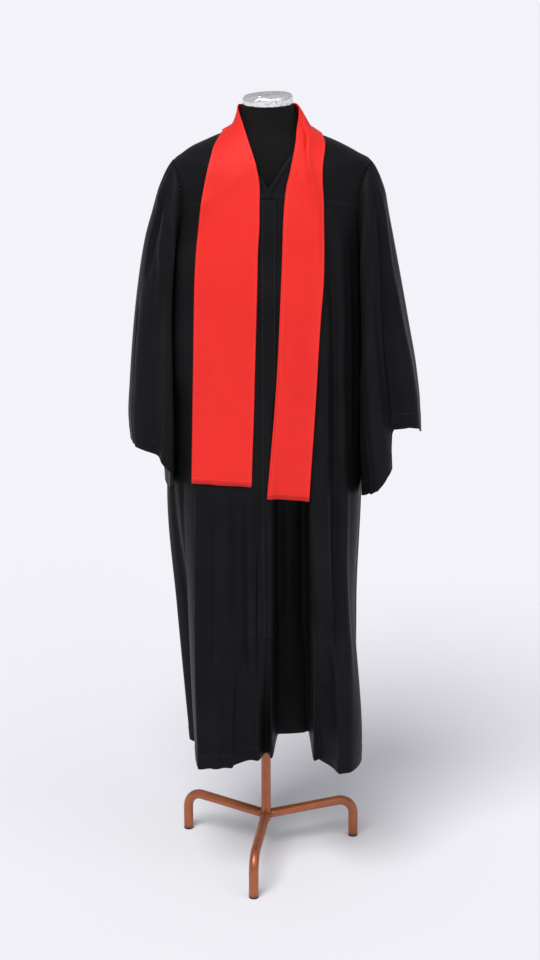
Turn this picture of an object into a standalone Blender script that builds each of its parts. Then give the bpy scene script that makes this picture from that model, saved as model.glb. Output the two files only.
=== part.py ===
"""Choir robe with its stole, worn by a limbless dress form on a three-footed tube stand.

Metres, Z up, floor at z = 0, front towards -Y. Right and left are the wearer's: right is at -X.
All tables are about the stand's pole at x = y = 0; FRAME_SHIFT then moves every piece, so that the
middle of the whole part's footprint is the origin.
Cloth is made as grids of points on a surface function; each grid is thickened into its own wall.
"""
import math

import bpy
import numpy as np
from mathutils import Vector
from mathutils.bvhtree import BVHTree

FRAME_SHIFT = np.array([-0.0225, 0.0075, 0.0])

# Cloth and seams
GOWN_WALL = 0.0014
BAND_WALL = 0.0010
STOLE_WALL = 0.0016
SEAM_GAP = 0.0003
LAYER_GAP = 0.0008
STOLE_REST = 0.0016

# Gown lengths and openings
YOKE_SEAM_CENTRE = 1.595
ARMHOLE_MIDDLE = 1.529
ARMHOLE_HALF_HEIGHT = 0.128
ARMHOLE_HALF_ANGLE = 26.0
SHOULDER_TIP = ARMHOLE_MIDDLE + ARMHOLE_HALF_HEIGHT
FLY_HALF_WIDTH = 0.0160
FLY_FIRST_ROW = 4
NECK_BAND_WIDTH = 0.0090

# Grid sizes
FRONT_COLUMNS = 18
BACK_SHOULDER_COLUMNS = 9
BACK_NECK_COLUMNS = 7
SLEEVE_COLUMNS = 24
STOLE_COLUMNS = 8
FOLDED_COLUMNS = 3
TUBE_SIDES = 20
BEND_RINGS = 8

# Stand
TUBE_RADIUS = 0.01125
LEG_HEIGHT = 0.100
LEG_REACH = 0.228
LEG_BEND = 0.042
LEG_ANGLES = {"right": 145.8, "left": 23.0, "front": -97.0}
LEG_HALF_SPACE = math.radians(58.4)
PLUG_HEIGHT = 0.004
POLE_BOTTOM = 0.084
FORM_BOTTOM = 0.930

# Gown body, one row per height: reach to the right and left of the middle, front and back depth
BODY = np.array([
    # z,     right,  left,   front,  back,   middle, squareness
    (0.295, 0.184, 0.198, 0.200, 0.205, 0.006, 2.5),
    (0.370, 0.190, 0.200, 0.197, 0.202, 0.006, 2.5),
    (0.640, 0.211, 0.199, 0.186, 0.190, 0.006, 2.4),
    (0.900, 0.229, 0.207, 0.175, 0.177, 0.006, 2.3),
    (1.150, 0.223, 0.210, 0.169, 0.168, 0.006, 2.3),
    (1.300, 0.219, 0.211, 0.165, 0.162, 0.006, 2.3),
    (1.400, 0.216, 0.211, 0.160, 0.158, 0.006, 2.2),
    (1.500, 0.213, 0.214, 0.148, 0.152, 0.006, 2.1),
    (1.600, 0.210, 0.218, 0.127, 0.139, 0.006, 2.0),
    (1.645, 0.207, 0.221, 0.115, 0.129, 0.006, 2.0),
    (1.657, 0.204, 0.220, 0.111, 0.124, 0.006, 2.0),
    (1.670, 0.188, 0.198, 0.105, 0.118, 0.006, 2.0),
    (1.684, 0.168, 0.173, 0.097, 0.110, 0.006, 2.0),
    (1.698, 0.138, 0.144, 0.089, 0.101, 0.006, 2.0),
    (1.707, 0.117, 0.122, 0.083, 0.094, 0.005, 2.0),
    (1.716, 0.094, 0.097, 0.077, 0.087, 0.005, 2.0),
    (1.722, 0.081, 0.083, 0.073, 0.081, 0.004, 2.0),
    (1.735, 0.074, 0.076, 0.068, 0.075, 0.003, 2.0),
])

# Hanging folds, one row each. Angle round the body (270 is centre front, 90 centre back), half
# width in degrees and the share of it that stays flat, how far the cloth is pushed, and the
# heights where a fold starts and is full.
FOLDS = np.array([
    # angle, half, flat, push x, push y, push z, starts, full
    (285.8, 14.3, 0.68,  0.002,  0.190,  0.010, 1.250, 0.315),
    (230.0, 9.0,  0.00,  0.000, -0.014,  0.000, 0.800, 0.320),
    (305.0, 12.0, 0.00,  0.000,  0.070,  0.000, 0.800, 0.320),
    (221.0, 11.0, 0.00, -0.004, -0.045,  0.000, 1.250, 0.450),
    (199.0, 15.0, 0.00,  0.043,  0.000,  0.000, 1.100, 0.400),
    (243.0, 10.0, 0.00,  0.000,  0.010,  0.000, 0.900, 0.350),
    (262.0, 6.0,  0.00,  0.000, -0.012,  0.000, 1.000, 0.700),
    (261.0, 16.0, 0.00,  0.000,  0.075,  0.000, 0.650, 0.310),
    (269.5, 7.0,  0.00,  0.000,  0.070,  0.000, 0.600, 0.310),
    (309.0, 8.0,  0.00,  0.004, -0.012,  0.000, 1.560, 1.300),
    (317.0, 6.0,  0.00,  0.000,  0.010,  0.000, 1.550, 1.250),
    (318.0, 19.0, 0.10,  0.012, -0.070,  0.000, 0.900, 0.330),
    (333.0, 15.0, 0.00,  0.026, -0.020,  0.000, 0.800, 0.330),
    (352.0, 10.0, 0.00, -0.014,  0.000,  0.000, 0.900, 0.400),
    (160.0, 12.0, 0.00,  0.004,  0.010,  0.006, 1.250, 0.400),
    (138.0, 11.0, 0.00,  0.012, -0.022,  0.004, 1.450, 0.450),
    (118.0, 10.0, 0.00,  0.000,  0.022,  0.000, 1.500, 0.450),
    (97.0, 10.0,  0.00,  0.000, -0.028,  0.004, 1.500, 0.400),
    (76.0, 11.0,  0.00,  0.000,  0.024,  0.000, 1.500, 0.450),
    (55.0, 11.0,  0.00, -0.010, -0.022,  0.004, 1.450, 0.400),
    (34.0, 12.0,  0.00,  0.012,  0.014,  0.000, 1.300, 0.400),
    (15.0, 10.0,  0.00, -0.012,  0.000,  0.000, 1.000, 0.400),
])

# Edge of the front neck opening: height and angle away from centre front
NECKLINE = np.array([
    # z,    angle
    (1.615, 0.0),
    (1.635, 6.5),
    (1.655, 13.5),
    (1.675, 22.5),
    (1.692, 34.0),
    (1.704, 51.0),
    (1.712, 69.0),
    (1.7165, 90.0),
])
NECK_POINT = 1.7165
BACK_NECK = 1.7130

# Yoke rows: where each meets the armhole, and the neck opening; half rows fall between columns
# of the sleeve
YOKE_TURNS = [15.0, 30.0, 45.0, 52.5, 60.0, 67.5, 75.0, 82.5, 90.0]
YOKE_HALF_ROWS = [3, 5, 7]
YOKE_NECK_ROWS = np.array([1.615, 1.640, 1.662, 1.682, 1.697, 1.7065, 1.7130, 1.7165])
BACK_BAND_DROP = 0.0066

# Heights of the body rows at the side seams and at the centre lines
SKIRT_ROWS = [0.300, 0.350, 0.420, 0.510, 0.610, 0.720, 0.840, 0.960, 1.080, 1.190, 1.300]
ARMHOLE_CENTRE_ROWS = [1.360, 1.395, 1.430, 1.465, 1.495, 1.525, 1.560, YOKE_SEAM_CENTRE]

# Sleeves, one row per ring: how far out and how high its top and its underside are, half depth
# front to back, and how much its front and back edges turn in towards the body
SLEEVE_RIGHT = np.array([
    # place, out x,  out z, in x,   in z,  depth, turn in
    (0.00, 0.1980, 1.657, 0.2100, 1.401, 0.090, 0.020),
    (0.06, 0.2190, 1.640, 0.2230, 1.392, 0.096, 0.021),
    (0.14, 0.2310, 1.603, 0.2275, 1.370, 0.102, 0.023),
    (0.24, 0.2450, 1.553, 0.2300, 1.335, 0.108, 0.026),
    (0.36, 0.2640, 1.485, 0.2310, 1.282, 0.114, 0.030),
    (0.50, 0.2810, 1.385, 0.2310, 1.210, 0.120, 0.034),
    (0.64, 0.2940, 1.275, 0.2305, 1.132, 0.126, 0.039),
    (0.78, 0.3030, 1.165, 0.2300, 1.055, 0.131, 0.044),
    (0.90, 0.3075, 1.090, 0.2290, 0.992, 0.136, 0.048),
    (1.00, 0.3030, 1.034, 0.2270, 0.943, 0.140, 0.050),
])
SLEEVE_LEFT = np.array([
    # place, out x,  out z, in x,   in z,  depth, turn in
    (0.00, 0.2260, 1.657, 0.2170, 1.401, 0.090, 0.020),
    (0.06, 0.2470, 1.638, 0.2255, 1.390, 0.096, 0.021),
    (0.14, 0.2580, 1.600, 0.2275, 1.368, 0.102, 0.023),
    (0.24, 0.2680, 1.545, 0.2270, 1.332, 0.108, 0.026),
    (0.36, 0.2820, 1.475, 0.2260, 1.278, 0.114, 0.028),
    (0.50, 0.3010, 1.378, 0.2250, 1.202, 0.121, 0.030),
    (0.64, 0.3190, 1.282, 0.2245, 1.122, 0.128, 0.034),
    (0.78, 0.3350, 1.190, 0.2240, 1.040, 0.134, 0.034),
    (0.90, 0.3445, 1.110, 0.2240, 0.975, 0.138, 0.031),
    (1.00, 0.3480, 1.045, 0.2240, 0.922, 0.142, 0.030),
])
# Hem of the sleeves: angle round the sleeve, and how far its edge is raised, right and left
SLEEVE_HEM = np.array([
    # angle, right,  left
    (0.0,   0.004, -0.004),
    (15.0,  0.008,  0.000),
    (30.0,  0.011,  0.004),
    (45.0,  0.008,  0.056),
    (60.0,  0.005,  0.035),
    (75.0,  0.002,  0.013),
    (90.0,  0.000,  0.000),
    (120.0, 0.000,  0.008),
    (150.0, 0.006,  0.010),
    (180.0, 0.006,  0.004),
    (240.0, 0.000, -0.004),
    (270.0, 0.000, -0.004),
    (300.0, -0.008, -0.012),
    (330.0, -0.010, -0.012),
    (360.0, 0.004, -0.004),
])
SLEEVE_RINGS = [0.0, 0.05, 0.11, 0.18, 0.27, 0.37, 0.48, 0.60, 0.71, 0.81, 0.90, 0.96, 1.0]

# Long sleeve folds: angle round the sleeve (0 is the front, 90 the top), depth outwards
SLEEVE_FOLDS = np.array([
    # angle, half,  right,   left,   starts
    (8.0,   20.0,  0.006,  0.008, 0.15),
    (32.0,  15.0, -0.010, -0.010, 0.20),
    (58.0,  17.0,  0.007,  0.012, 0.30),
    (110.0, 20.0,  0.006,  0.008, 0.30),
    (140.0, 18.0, -0.011, -0.012, 0.25),
    (170.0, 20.0,  0.008,  0.008, 0.20),
    (-35.0, 22.0, -0.005, -0.006, 0.40),
])

# Stole, one row per station from the centre back: inner and outer edge in space, and how far the
# cloth between them sinks. The hanging rows give x and z only: they lie on the gown's front.
STOLE_NECK_RIGHT = np.array([
    # in x,   in y,   in z,   out x,  out y,  out z,  belly
    (0.0000, 0.0635, 1.7640, 0.0000, 0.1180, 1.6600, 0.010),
    (-0.0240, 0.0590, 1.7660, -0.0450, 0.1080, 1.6640, 0.010),
    (-0.0440, 0.0430, 1.7690, -0.0830, 0.0760, 1.6780, 0.009),
    (-0.0560, 0.0200, 1.7740, -0.0990, 0.0370, 1.6980, 0.008),
    (-0.0590, -0.0060, 1.7730, -0.0970, -0.0080, 1.7060, 0.008),
    (-0.0555, -0.0300, 1.7610, -0.1045, -0.0420, 1.6930, 0.007),
    (-0.0490, -0.0480, 1.7450, -0.1155, -0.0680, 1.6730, 0.006),
    (-0.0410, -0.0660, 1.7230, -0.1235, -0.0900, 1.6460, 0.005),
    (-0.0305, -0.0840, 1.6970, -0.1315, -0.1050, 1.6130, 0.004),
    (-0.0190, -0.1030, 1.6640, -0.1380, -0.1170, 1.5780, 0.002),
])
STOLE_NECK_LEFT = np.array([
    # in x,  in y,   in z,   out x,  out y,  out z,  belly
    (0.0000, 0.0635, 1.7640, 0.0000, 0.1180, 1.6600, 0.010),
    (0.0250, 0.0590, 1.7660, 0.0490, 0.1080, 1.6640, 0.010),
    (0.0480, 0.0430, 1.7700, 0.0910, 0.0760, 1.6760, 0.008),
    (0.0650, 0.0200, 1.7740, 0.1140, 0.0350, 1.6970, 0.003),
    (0.0730, -0.0060, 1.7680, 0.1210, -0.0080, 1.7060, -0.001),
    (0.0720, -0.0280, 1.7520, 0.1215, -0.0400, 1.6970, 0.001),
    (0.0680, -0.0470, 1.7350, 0.1205, -0.0640, 1.6780, 0.003),
    (0.0610, -0.0660, 1.7090, 0.1205, -0.0850, 1.6540, 0.004),
    (0.0550, -0.0850, 1.6800, 0.1212, -0.1000, 1.6250, 0.004),
    (0.0490, -0.1030, 1.6480, 0.1222, -0.1120, 1.5900, 0.002),
])
STOLE_HANG_RIGHT = np.array([
    # in x,   in z,  out x,   out z
    (-0.0120, 1.615, -0.1430, 1.535),
    (-0.0120, 1.550, -0.1475, 1.480),
    (-0.0160, 1.480, -0.1508, 1.420),
    (-0.0180, 1.400, -0.1530, 1.355),
    (-0.0205, 1.310, -0.1548, 1.280),
    (-0.0230, 1.220, -0.1565, 1.200),
    (-0.0250, 1.135, -0.1578, 1.125),
    (-0.0280, 1.050, -0.1592, 1.048),
    (-0.0305, 0.9705, -0.1606, 0.9705),
])
STOLE_HANG_LEFT = np.array([
    # in x,  in z,  out x,  out z
    (0.0437, 1.608, 0.1230, 1.550),
    (0.0387, 1.545, 0.1238, 1.492),
    (0.0365, 1.470, 0.1232, 1.425),
    (0.0335, 1.390, 0.1190, 1.355),
    (0.0300, 1.300, 0.1145, 1.278),
    (0.0262, 1.215, 0.1110, 1.200),
    (0.0205, 1.125, 0.1060, 1.117),
    (0.0130, 1.035, 0.1005, 1.026),
    (0.0045, 0.9440, 0.0955, 0.9330),
])

# Dress form under the gown
FORM = np.array([
    # z,     side,   front,  back,  middle, squareness
    (0.930, 0.163, 0.112, 0.118, 0.000, 2.3),
    (1.010, 0.168, 0.118, 0.122, 0.000, 2.3),
    (1.100, 0.158, 0.110, 0.108, 0.000, 2.2),
    (1.200, 0.135, 0.098, 0.090, 0.000, 2.2),
    (1.300, 0.146, 0.112, 0.098, 0.001, 2.2),
    (1.400, 0.163, 0.130, 0.114, 0.001, 2.2),
    (1.500, 0.176, 0.126, 0.122, 0.002, 2.1),
    (1.580, 0.188, 0.113, 0.123, 0.003, 2.1),
    (1.6305, 0.1935, 0.103, 0.116, 0.0045, 2.0),
    (1.6486, 0.1915, 0.098, 0.112, 0.0045, 2.0),
    (1.6606, 0.1835, 0.094, 0.108, 0.0045, 2.0),
    (1.6726, 0.1715, 0.090, 0.104, 0.0045, 2.0),
    (1.6846, 0.1555, 0.085, 0.098, 0.0045, 2.0),
    (1.6966, 0.1335, 0.080, 0.090, 0.005, 2.0),
    (1.7066, 0.1110, 0.074, 0.082, 0.005, 2.0),
    (1.7154, 0.0886, 0.069, 0.074, 0.005, 2.0),
    (1.725, 0.0735, 0.0645, 0.067, 0.005, 2.0),
    (1.740, 0.0650, 0.0605, 0.061, 0.005, 2.0),
    (1.758, 0.0590, 0.0570, 0.0575, 0.005, 2.0),
    (1.7765, 0.0556, 0.0550, 0.0550, 0.005, 2.0),
])
FORM_COLUMNS = 26

# Neck cap outline from its underside up: radius and height
CAP_TILT = 3.2
CAP = np.array([
    # radius, height
    (0.0530, 0.0000),
    (0.0547, 0.0010),
    (0.0547, 0.0140),
    (0.0535, 0.0172),
    (0.0505, 0.0190),
    (0.0440, 0.0194),
    (0.0420, 0.0182),
    (0.0390, 0.0182),
    (0.0370, 0.0198),
    (0.0330, 0.0202),
    (0.0090, 0.0202),
    (0.0070, 0.0188),
])
CAP_COLUMNS = 32


def clear_scene():
    for item in list(bpy.data.objects):
        bpy.data.objects.remove(item, do_unlink=True)


def ease(value):
    value = np.clip(value, 0.0, 1.0)
    return value * value * (3.0 - 2.0 * value)


def unit(vectors):
    length = np.linalg.norm(vectors, axis=-1, keepdims=True)
    return vectors / np.maximum(length, 1e-12)


def follow(keys, values, at):
    """Smooth curve through a table's rows that never overshoots them."""
    keys = np.asarray(keys, float)
    values = np.asarray(values, float)
    at = np.clip(np.asarray(at, float), keys[0], keys[-1])
    step = np.diff(keys)
    slope = np.diff(values) / step
    tangent = np.zeros(len(keys))
    same = slope[1:] * slope[:-1] > 0.0
    one = 2.0 * step[1:] + step[:-1]
    two = step[1:] + 2.0 * step[:-1]
    safe_a = np.where(same, slope[:-1], 1.0)
    safe_b = np.where(same, slope[1:], 1.0)
    tangent[1:-1] = np.where(same, (one + two) / (one / safe_a + two / safe_b), 0.0)
    tangent[0] = slope[0]
    tangent[-1] = slope[-1]
    cell = np.clip(np.searchsorted(keys, at, side="right") - 1, 0, len(step) - 1)
    width = step[cell]
    part = (at - keys[cell]) / width
    square = part * part
    cube = square * part
    return (values[cell] * (2.0 * cube - 3.0 * square + 1.0)
            + tangent[cell] * width * (cube - 2.0 * square + part)
            + values[cell + 1] * (3.0 * square - 2.0 * cube)
            + tangent[cell + 1] * width * (cube - square))


def swell(angle, centre, half, flat=0.0):
    """How much of a fold is felt at an angle: all of it in the flat middle, none at its edge."""
    away = np.abs((angle - centre + 180.0) % 360.0 - 180.0) / half
    return ease((1.0 - away) / (1.0 - flat))


def section_radius(cosine, sine, side, depth, power):
    return ((np.abs(cosine) / side) ** power + (np.abs(sine) / depth) ** power) ** (-1.0 / power)


def gown_point(angle, height):
    """Outer face of the gown's body at an angle in degrees and a height."""
    angle, height = np.broadcast_arrays(np.asarray(angle, float), np.asarray(height, float))
    right, left, front, back, middle, power = [
        follow(BODY[:, 0], BODY[:, column], height) for column in range(1, 7)]
    cosine = np.cos(np.radians(angle))
    sine = np.sin(np.radians(angle))
    side = np.where(cosine < 0.0, right, left)
    depth = np.where(sine < 0.0, front, back)
    radius = section_radius(cosine, sine, side, depth, power)
    point = np.stack([middle + radius * cosine, radius * sine, height], axis=-1)
    for centre, half, flat, push_x, push_y, push_z, starts, full in FOLDS:
        amount = swell(angle, centre, half, flat) * ease((starts - height) / (starts - full))
        point = point + amount[..., None] * np.array([push_x, push_y, push_z])
    return point


def gown_normal(angle, height):
    turn = gown_point(angle + 0.2, height) - gown_point(angle - 0.2, height)
    rise = gown_point(angle, height + 0.0004) - gown_point(angle, height - 0.0004)
    return unit(np.cross(turn, rise))


def form_point(angle, height):
    angle, height = np.broadcast_arrays(np.asarray(angle, float), np.asarray(height, float))
    side, front, back, middle, power = [
        follow(FORM[:, 0], FORM[:, column], height) for column in range(1, 6)]
    cosine = np.cos(np.radians(angle))
    sine = np.sin(np.radians(angle))
    depth = np.where(sine < 0.0, front, back)
    radius = section_radius(cosine, sine, side, depth, power)
    return np.stack([middle + radius * cosine, radius * sine, height], axis=-1)


def armhole(degrees, side):
    """Angle and height of the armhole edge; 90 is the shoulder tip and 0 the front."""
    turn = np.radians(np.asarray(degrees, float))
    height = ARMHOLE_MIDDLE + ARMHOLE_HALF_HEIGHT * np.sin(turn)
    swing = ARMHOLE_HALF_ANGLE * np.cos(turn)
    return (180.0 + swing if side < 0 else 360.0 - swing), height


def spread(angle, height, count, last=None):
    """Places along a path on the gown at even steps, the last step with its own width."""
    points = gown_point(angle, height)
    length = np.concatenate([[0.0], np.cumsum(np.linalg.norm(np.diff(points, axis=0), axis=1))])
    if last is None:
        stops = np.linspace(0.0, length[-1], count + 1)
    else:
        stops = np.append(np.linspace(0.0, length[-1] - last, count), length[-1])
    return np.interp(stops, length, angle), np.interp(stops, length, height)


def row_places(side_place, centre_place, count, last=None):
    along = np.linspace(0.0, 1.0, 301)
    angle = side_place[0] + (centre_place[0] - side_place[0]) * along
    height = side_place[1] + (centre_place[1] - side_place[1]) * (1.0 - (1.0 - along) ** 2)
    return spread(angle, height, count, last)


def patch(bottom, top, side, centre):
    """Angles and heights inside four border curves given as (angle, height) arrays."""
    columns = np.linspace(0.0, 1.0, bottom.shape[0])[None, :, None]
    rows = np.linspace(0.0, 1.0, side.shape[0])[:, None, None]
    ruled_rows = (1.0 - rows) * bottom[None] + rows * top[None]
    ruled_columns = (1.0 - columns) * side[:, None] + columns * centre[:, None]
    corners = ((1.0 - rows) * ((1.0 - columns) * bottom[0] + columns * bottom[-1])
               + rows * ((1.0 - columns) * top[0] + columns * top[-1]))
    return ruled_rows + ruled_columns - corners


def grid_normals(grid, around=False):
    if around:
        along = np.roll(grid, -1, axis=1) - np.roll(grid, 1, axis=1)
    else:
        along = np.gradient(grid, axis=1)
    return unit(np.cross(along, np.gradient(grid, axis=0)))


def drawn_in(outer, inner, edges, amount=SEAM_GAP / 2.0):
    """Move the named edges of a wall a little towards their neighbours, which leaves seams open."""
    outer = outer.copy()
    inner = inner.copy()
    for edge in edges:
        here, near = {
            "first row": ((0, slice(None)), (1, slice(None))),
            "last row": ((-1, slice(None)), (-2, slice(None))),
            "first column": ((slice(None), 0), (slice(None), 1)),
            "last column": ((slice(None), -1), (slice(None), -2)),
        }[edge]
        move = unit(outer[near] - outer[here]) * amount
        outer[here] = outer[here] + move
        inner[here] = inner[here] + move
    return outer, inner


def paint(item, colour, roughness, metallic=0.0):
    material = bpy.data.materials.new(item.name + "_finish")
    material.use_nodes = True
    shader = material.node_tree.nodes["Principled BSDF"]
    shader.inputs["Base Color"].default_value = (*colour, 1.0)
    shader.inputs["Roughness"].default_value = roughness
    shader.inputs["Metallic"].default_value = metallic
    material.diffuse_color = (*colour, 1.0)
    item.data.materials.append(material)


def make_solid(name, points, faces, finish):
    points = np.asarray(points, float) + FRAME_SHIFT
    corners = np.array(faces)
    first, second, third = points[corners[:, 0]], points[corners[:, 1]], points[corners[:, 2]]
    volume = np.sum(first * np.cross(second, third)) / 6.0
    if volume < 0.0:
        corners = corners[:, ::-1]
    mesh = bpy.data.meshes.new(name)
    mesh.from_pydata(points.tolist(), [], corners.tolist())
    mesh.update()
    item = bpy.data.objects.new(name, mesh)
    bpy.context.scene.collection.objects.link(item)
    paint(item, *finish)
    return item


def grid_faces(rows, columns, start, around, flip):
    faces = []
    for row in range(rows - 1):
        for column in range(columns if around else columns - 1):
            after = (column + 1) % columns
            a = start + row * columns + column
            b = start + row * columns + after
            c = start + (row + 1) * columns + after
            d = start + (row + 1) * columns + column
            pair = [(a, b, c), (a, c, d)]
            faces += [tri[::-1] for tri in pair] if flip else pair
    return faces


def make_wall(name, outer, inner, finish, around=False):
    """Closed cloth wall between two grids of the same size."""
    rows, columns = outer.shape[:2]
    size = rows * columns
    points = np.concatenate([outer.reshape(-1, 3), inner.reshape(-1, 3)])
    faces = grid_faces(rows, columns, 0, around, False)
    faces += grid_faces(rows, columns, size, around, True)
    border = [[row * columns + column for column in range(columns)] for row in (0, rows - 1)]
    loops = [border[0] + ([border[0][0]] if around else []),
             (border[1] + ([border[1][0]] if around else []))[::-1]]
    if not around:
        loops.append([row * columns for row in range(rows)][::-1])
        loops.append([row * columns + columns - 1 for row in range(rows)])
    for loop in loops:
        for here, after in zip(loop[:-1], loop[1:]):
            faces += [(after, here, here + size), (after, here + size, after + size)]
    return make_solid(name, points, faces, finish)


def make_turned(name, rings, finish):
    """Closed solid from stacked rings of points. Each end is filled with strips straight across,
    so an end cut to a saddle keeps its hollow."""
    rings = np.asarray(rings, float)
    count, columns = rings.shape[:2]
    faces = grid_faces(count, columns, 0, True, False)
    last = (count - 1) * columns
    for here in range(columns // 2):
        after = here + 1
        far = (columns - here) % columns
        far_after = columns - after
        strip = [(after, here, far)] if here else []
        if far_after != after:
            strip.append((after, far, far_after))
        faces += strip
        faces += [tuple(last + point for point in tri[::-1]) for tri in strip]
    return make_solid(name, rings.reshape(-1, 3), faces, finish)


GOWN = ((0.012, 0.012, 0.013), 0.55)
STOLE = ((0.80, 0.030, 0.018), 0.60)
JERSEY = ((0.010, 0.010, 0.010), 0.90)
CHROME = ((0.80, 0.80, 0.82), 0.12, 1.0)
COPPER = ((0.30, 0.10, 0.045), 0.35, 0.6)
RUBBER = ((0.02, 0.02, 0.022), 0.70)


def front_places(side):
    """Angle and height of every point of one gown front below the yoke, from the armhole in."""
    seam = 180.0 if side < 0 else 360.0
    rows = [row_places((seam, z), (270.0, z), FRONT_COLUMNS, FLY_HALF_WIDTH) for z in SKIRT_ROWS]
    for step, centre in enumerate(ARMHOLE_CENTRE_ROWS):
        angle, height = armhole(-90.0 + 15.0 * step, side)
        rows.append(row_places((angle, height), (270.0, centre), FRONT_COLUMNS, FLY_HALF_WIDTH))
    return np.array(rows).transpose(0, 2, 1)


def back_places(side):
    """The same for one half of the back, from the armhole in to the centre back."""
    count = BACK_SHOULDER_COLUMNS + BACK_NECK_COLUMNS
    seam = 180.0 if side < 0 else 0.0
    rows = [row_places((seam, z), (90.0, z), count) for z in SKIRT_ROWS]
    for step, centre in enumerate(ARMHOLE_CENTRE_ROWS):
        angle, height = armhole(-90.0 + 15.0 * step, side)
        angle = 360.0 - angle
        rows.append(row_places((angle, height), (90.0, centre), count))
    return np.array(rows).transpose(0, 2, 1)


def shoulder_seam(side):
    height = np.linspace(SHOULDER_TIP, NECK_POINT, 201)
    seam = 180.0 if side < 0 else 360.0
    return np.array(spread(np.full(201, seam), height, FRONT_COLUMNS, NECK_BAND_WIDTH)).T


def armhole_edge(side):
    return np.array([armhole(turn, side) for turn in YOKE_TURNS])


def straighten(values):
    """Yoke rows between two sleeve columns meet the armhole on the straight line between them."""
    for row in YOKE_HALF_ROWS:
        values[row] = (values[row - 1] + values[row + 1]) / 2.0


def yoke_front_places(side):
    bottom = front_places(side)[-1]
    swing = follow(NECKLINE[:, 0], NECKLINE[:, 1], YOKE_NECK_ROWS)
    centre = np.stack([270.0 + side * swing, YOKE_NECK_ROWS], axis=1)
    centre = np.concatenate([[(270.0, YOKE_SEAM_CENTRE)], centre])
    return patch(bottom, shoulder_seam(side), armhole_edge(side), centre)


def yoke_back_places(side):
    bottom = back_places(side)[-1]
    seam = shoulder_seam(side)[::2].copy()
    start = 180.0
    if side > 0:
        seam[:, 0] = 0.0
        start = 0.0
    along = np.linspace(0.0, 1.0, BACK_NECK_COLUMNS + 1)[1:]
    neck = np.stack([start + (90.0 - start) * along,
                     NECK_POINT + (BACK_NECK - NECK_POINT) * ease(along)], axis=1)
    edge = armhole_edge(side)
    edge[:, 0] = 360.0 - edge[:, 0]
    rises = np.linspace(YOKE_SEAM_CENTRE, BACK_NECK - BACK_BAND_DROP, len(YOKE_TURNS) - 1)
    centre = np.stack([np.full(len(YOKE_TURNS), 90.0), np.append(rises, BACK_NECK)], axis=1)
    return patch(bottom, np.concatenate([seam, neck]), edge, centre)


def sleeve_points(side, armhole_points):
    table = SLEEVE_RIGHT if side < 0 else SLEEVE_LEFT
    rings = np.array(SLEEVE_RINGS)
    out_x, out_z, in_x, in_z, depth, turn_in = [
        follow(table[:, 0], table[:, column], rings)[:, None] for column in range(1, 7)]
    turn = np.radians(np.arange(SLEEVE_COLUMNS) * 360.0 / SLEEVE_COLUMNS)[None, :]
    sine = np.sin(turn)
    cosine = np.cos(turn)
    x = (out_x + in_x) / 2.0 + sine * (out_x - in_x) / 2.0 - turn_in * cosine ** 2
    z = (out_z + in_z) / 2.0 + sine * (out_z - in_z) / 2.0
    grid = np.stack([side * x, -depth * cosine + 0.0 * x, z], axis=-1)
    normals = grid_normals(grid, True)
    if np.sum(normals[6, :, 0] * (grid[6, :, 0] - grid[6, :, 0].mean())) < 0.0:
        normals = -normals
    degrees = np.degrees(turn)
    for centre, half, right, left, starts in SLEEVE_FOLDS:
        amount = swell(degrees, centre, half) * ease((rings[:, None] - starts) / 0.5)
        grid = grid + normals * (amount * (right if side < 0 else left))[..., None]
    lift = np.interp(degrees[0], SLEEVE_HEM[:, 0], SLEEVE_HEM[:, 1 if side < 0 else 2])
    grid[..., 2] += lift[None, :] * ease((rings[:, None] - 0.55) / 0.45)
    blend = ease(rings / 0.18)[:, None, None]
    return armhole_points[None] * (1.0 - blend) + grid * blend


def mitre(first, second, wall):
    """Way from a seam's outer edge to its inner edge that suits the walls on both sides."""
    together = np.maximum(1.0 + np.sum(first * second, axis=-1, keepdims=True), 0.45)
    return -wall * (first + second) / together


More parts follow.
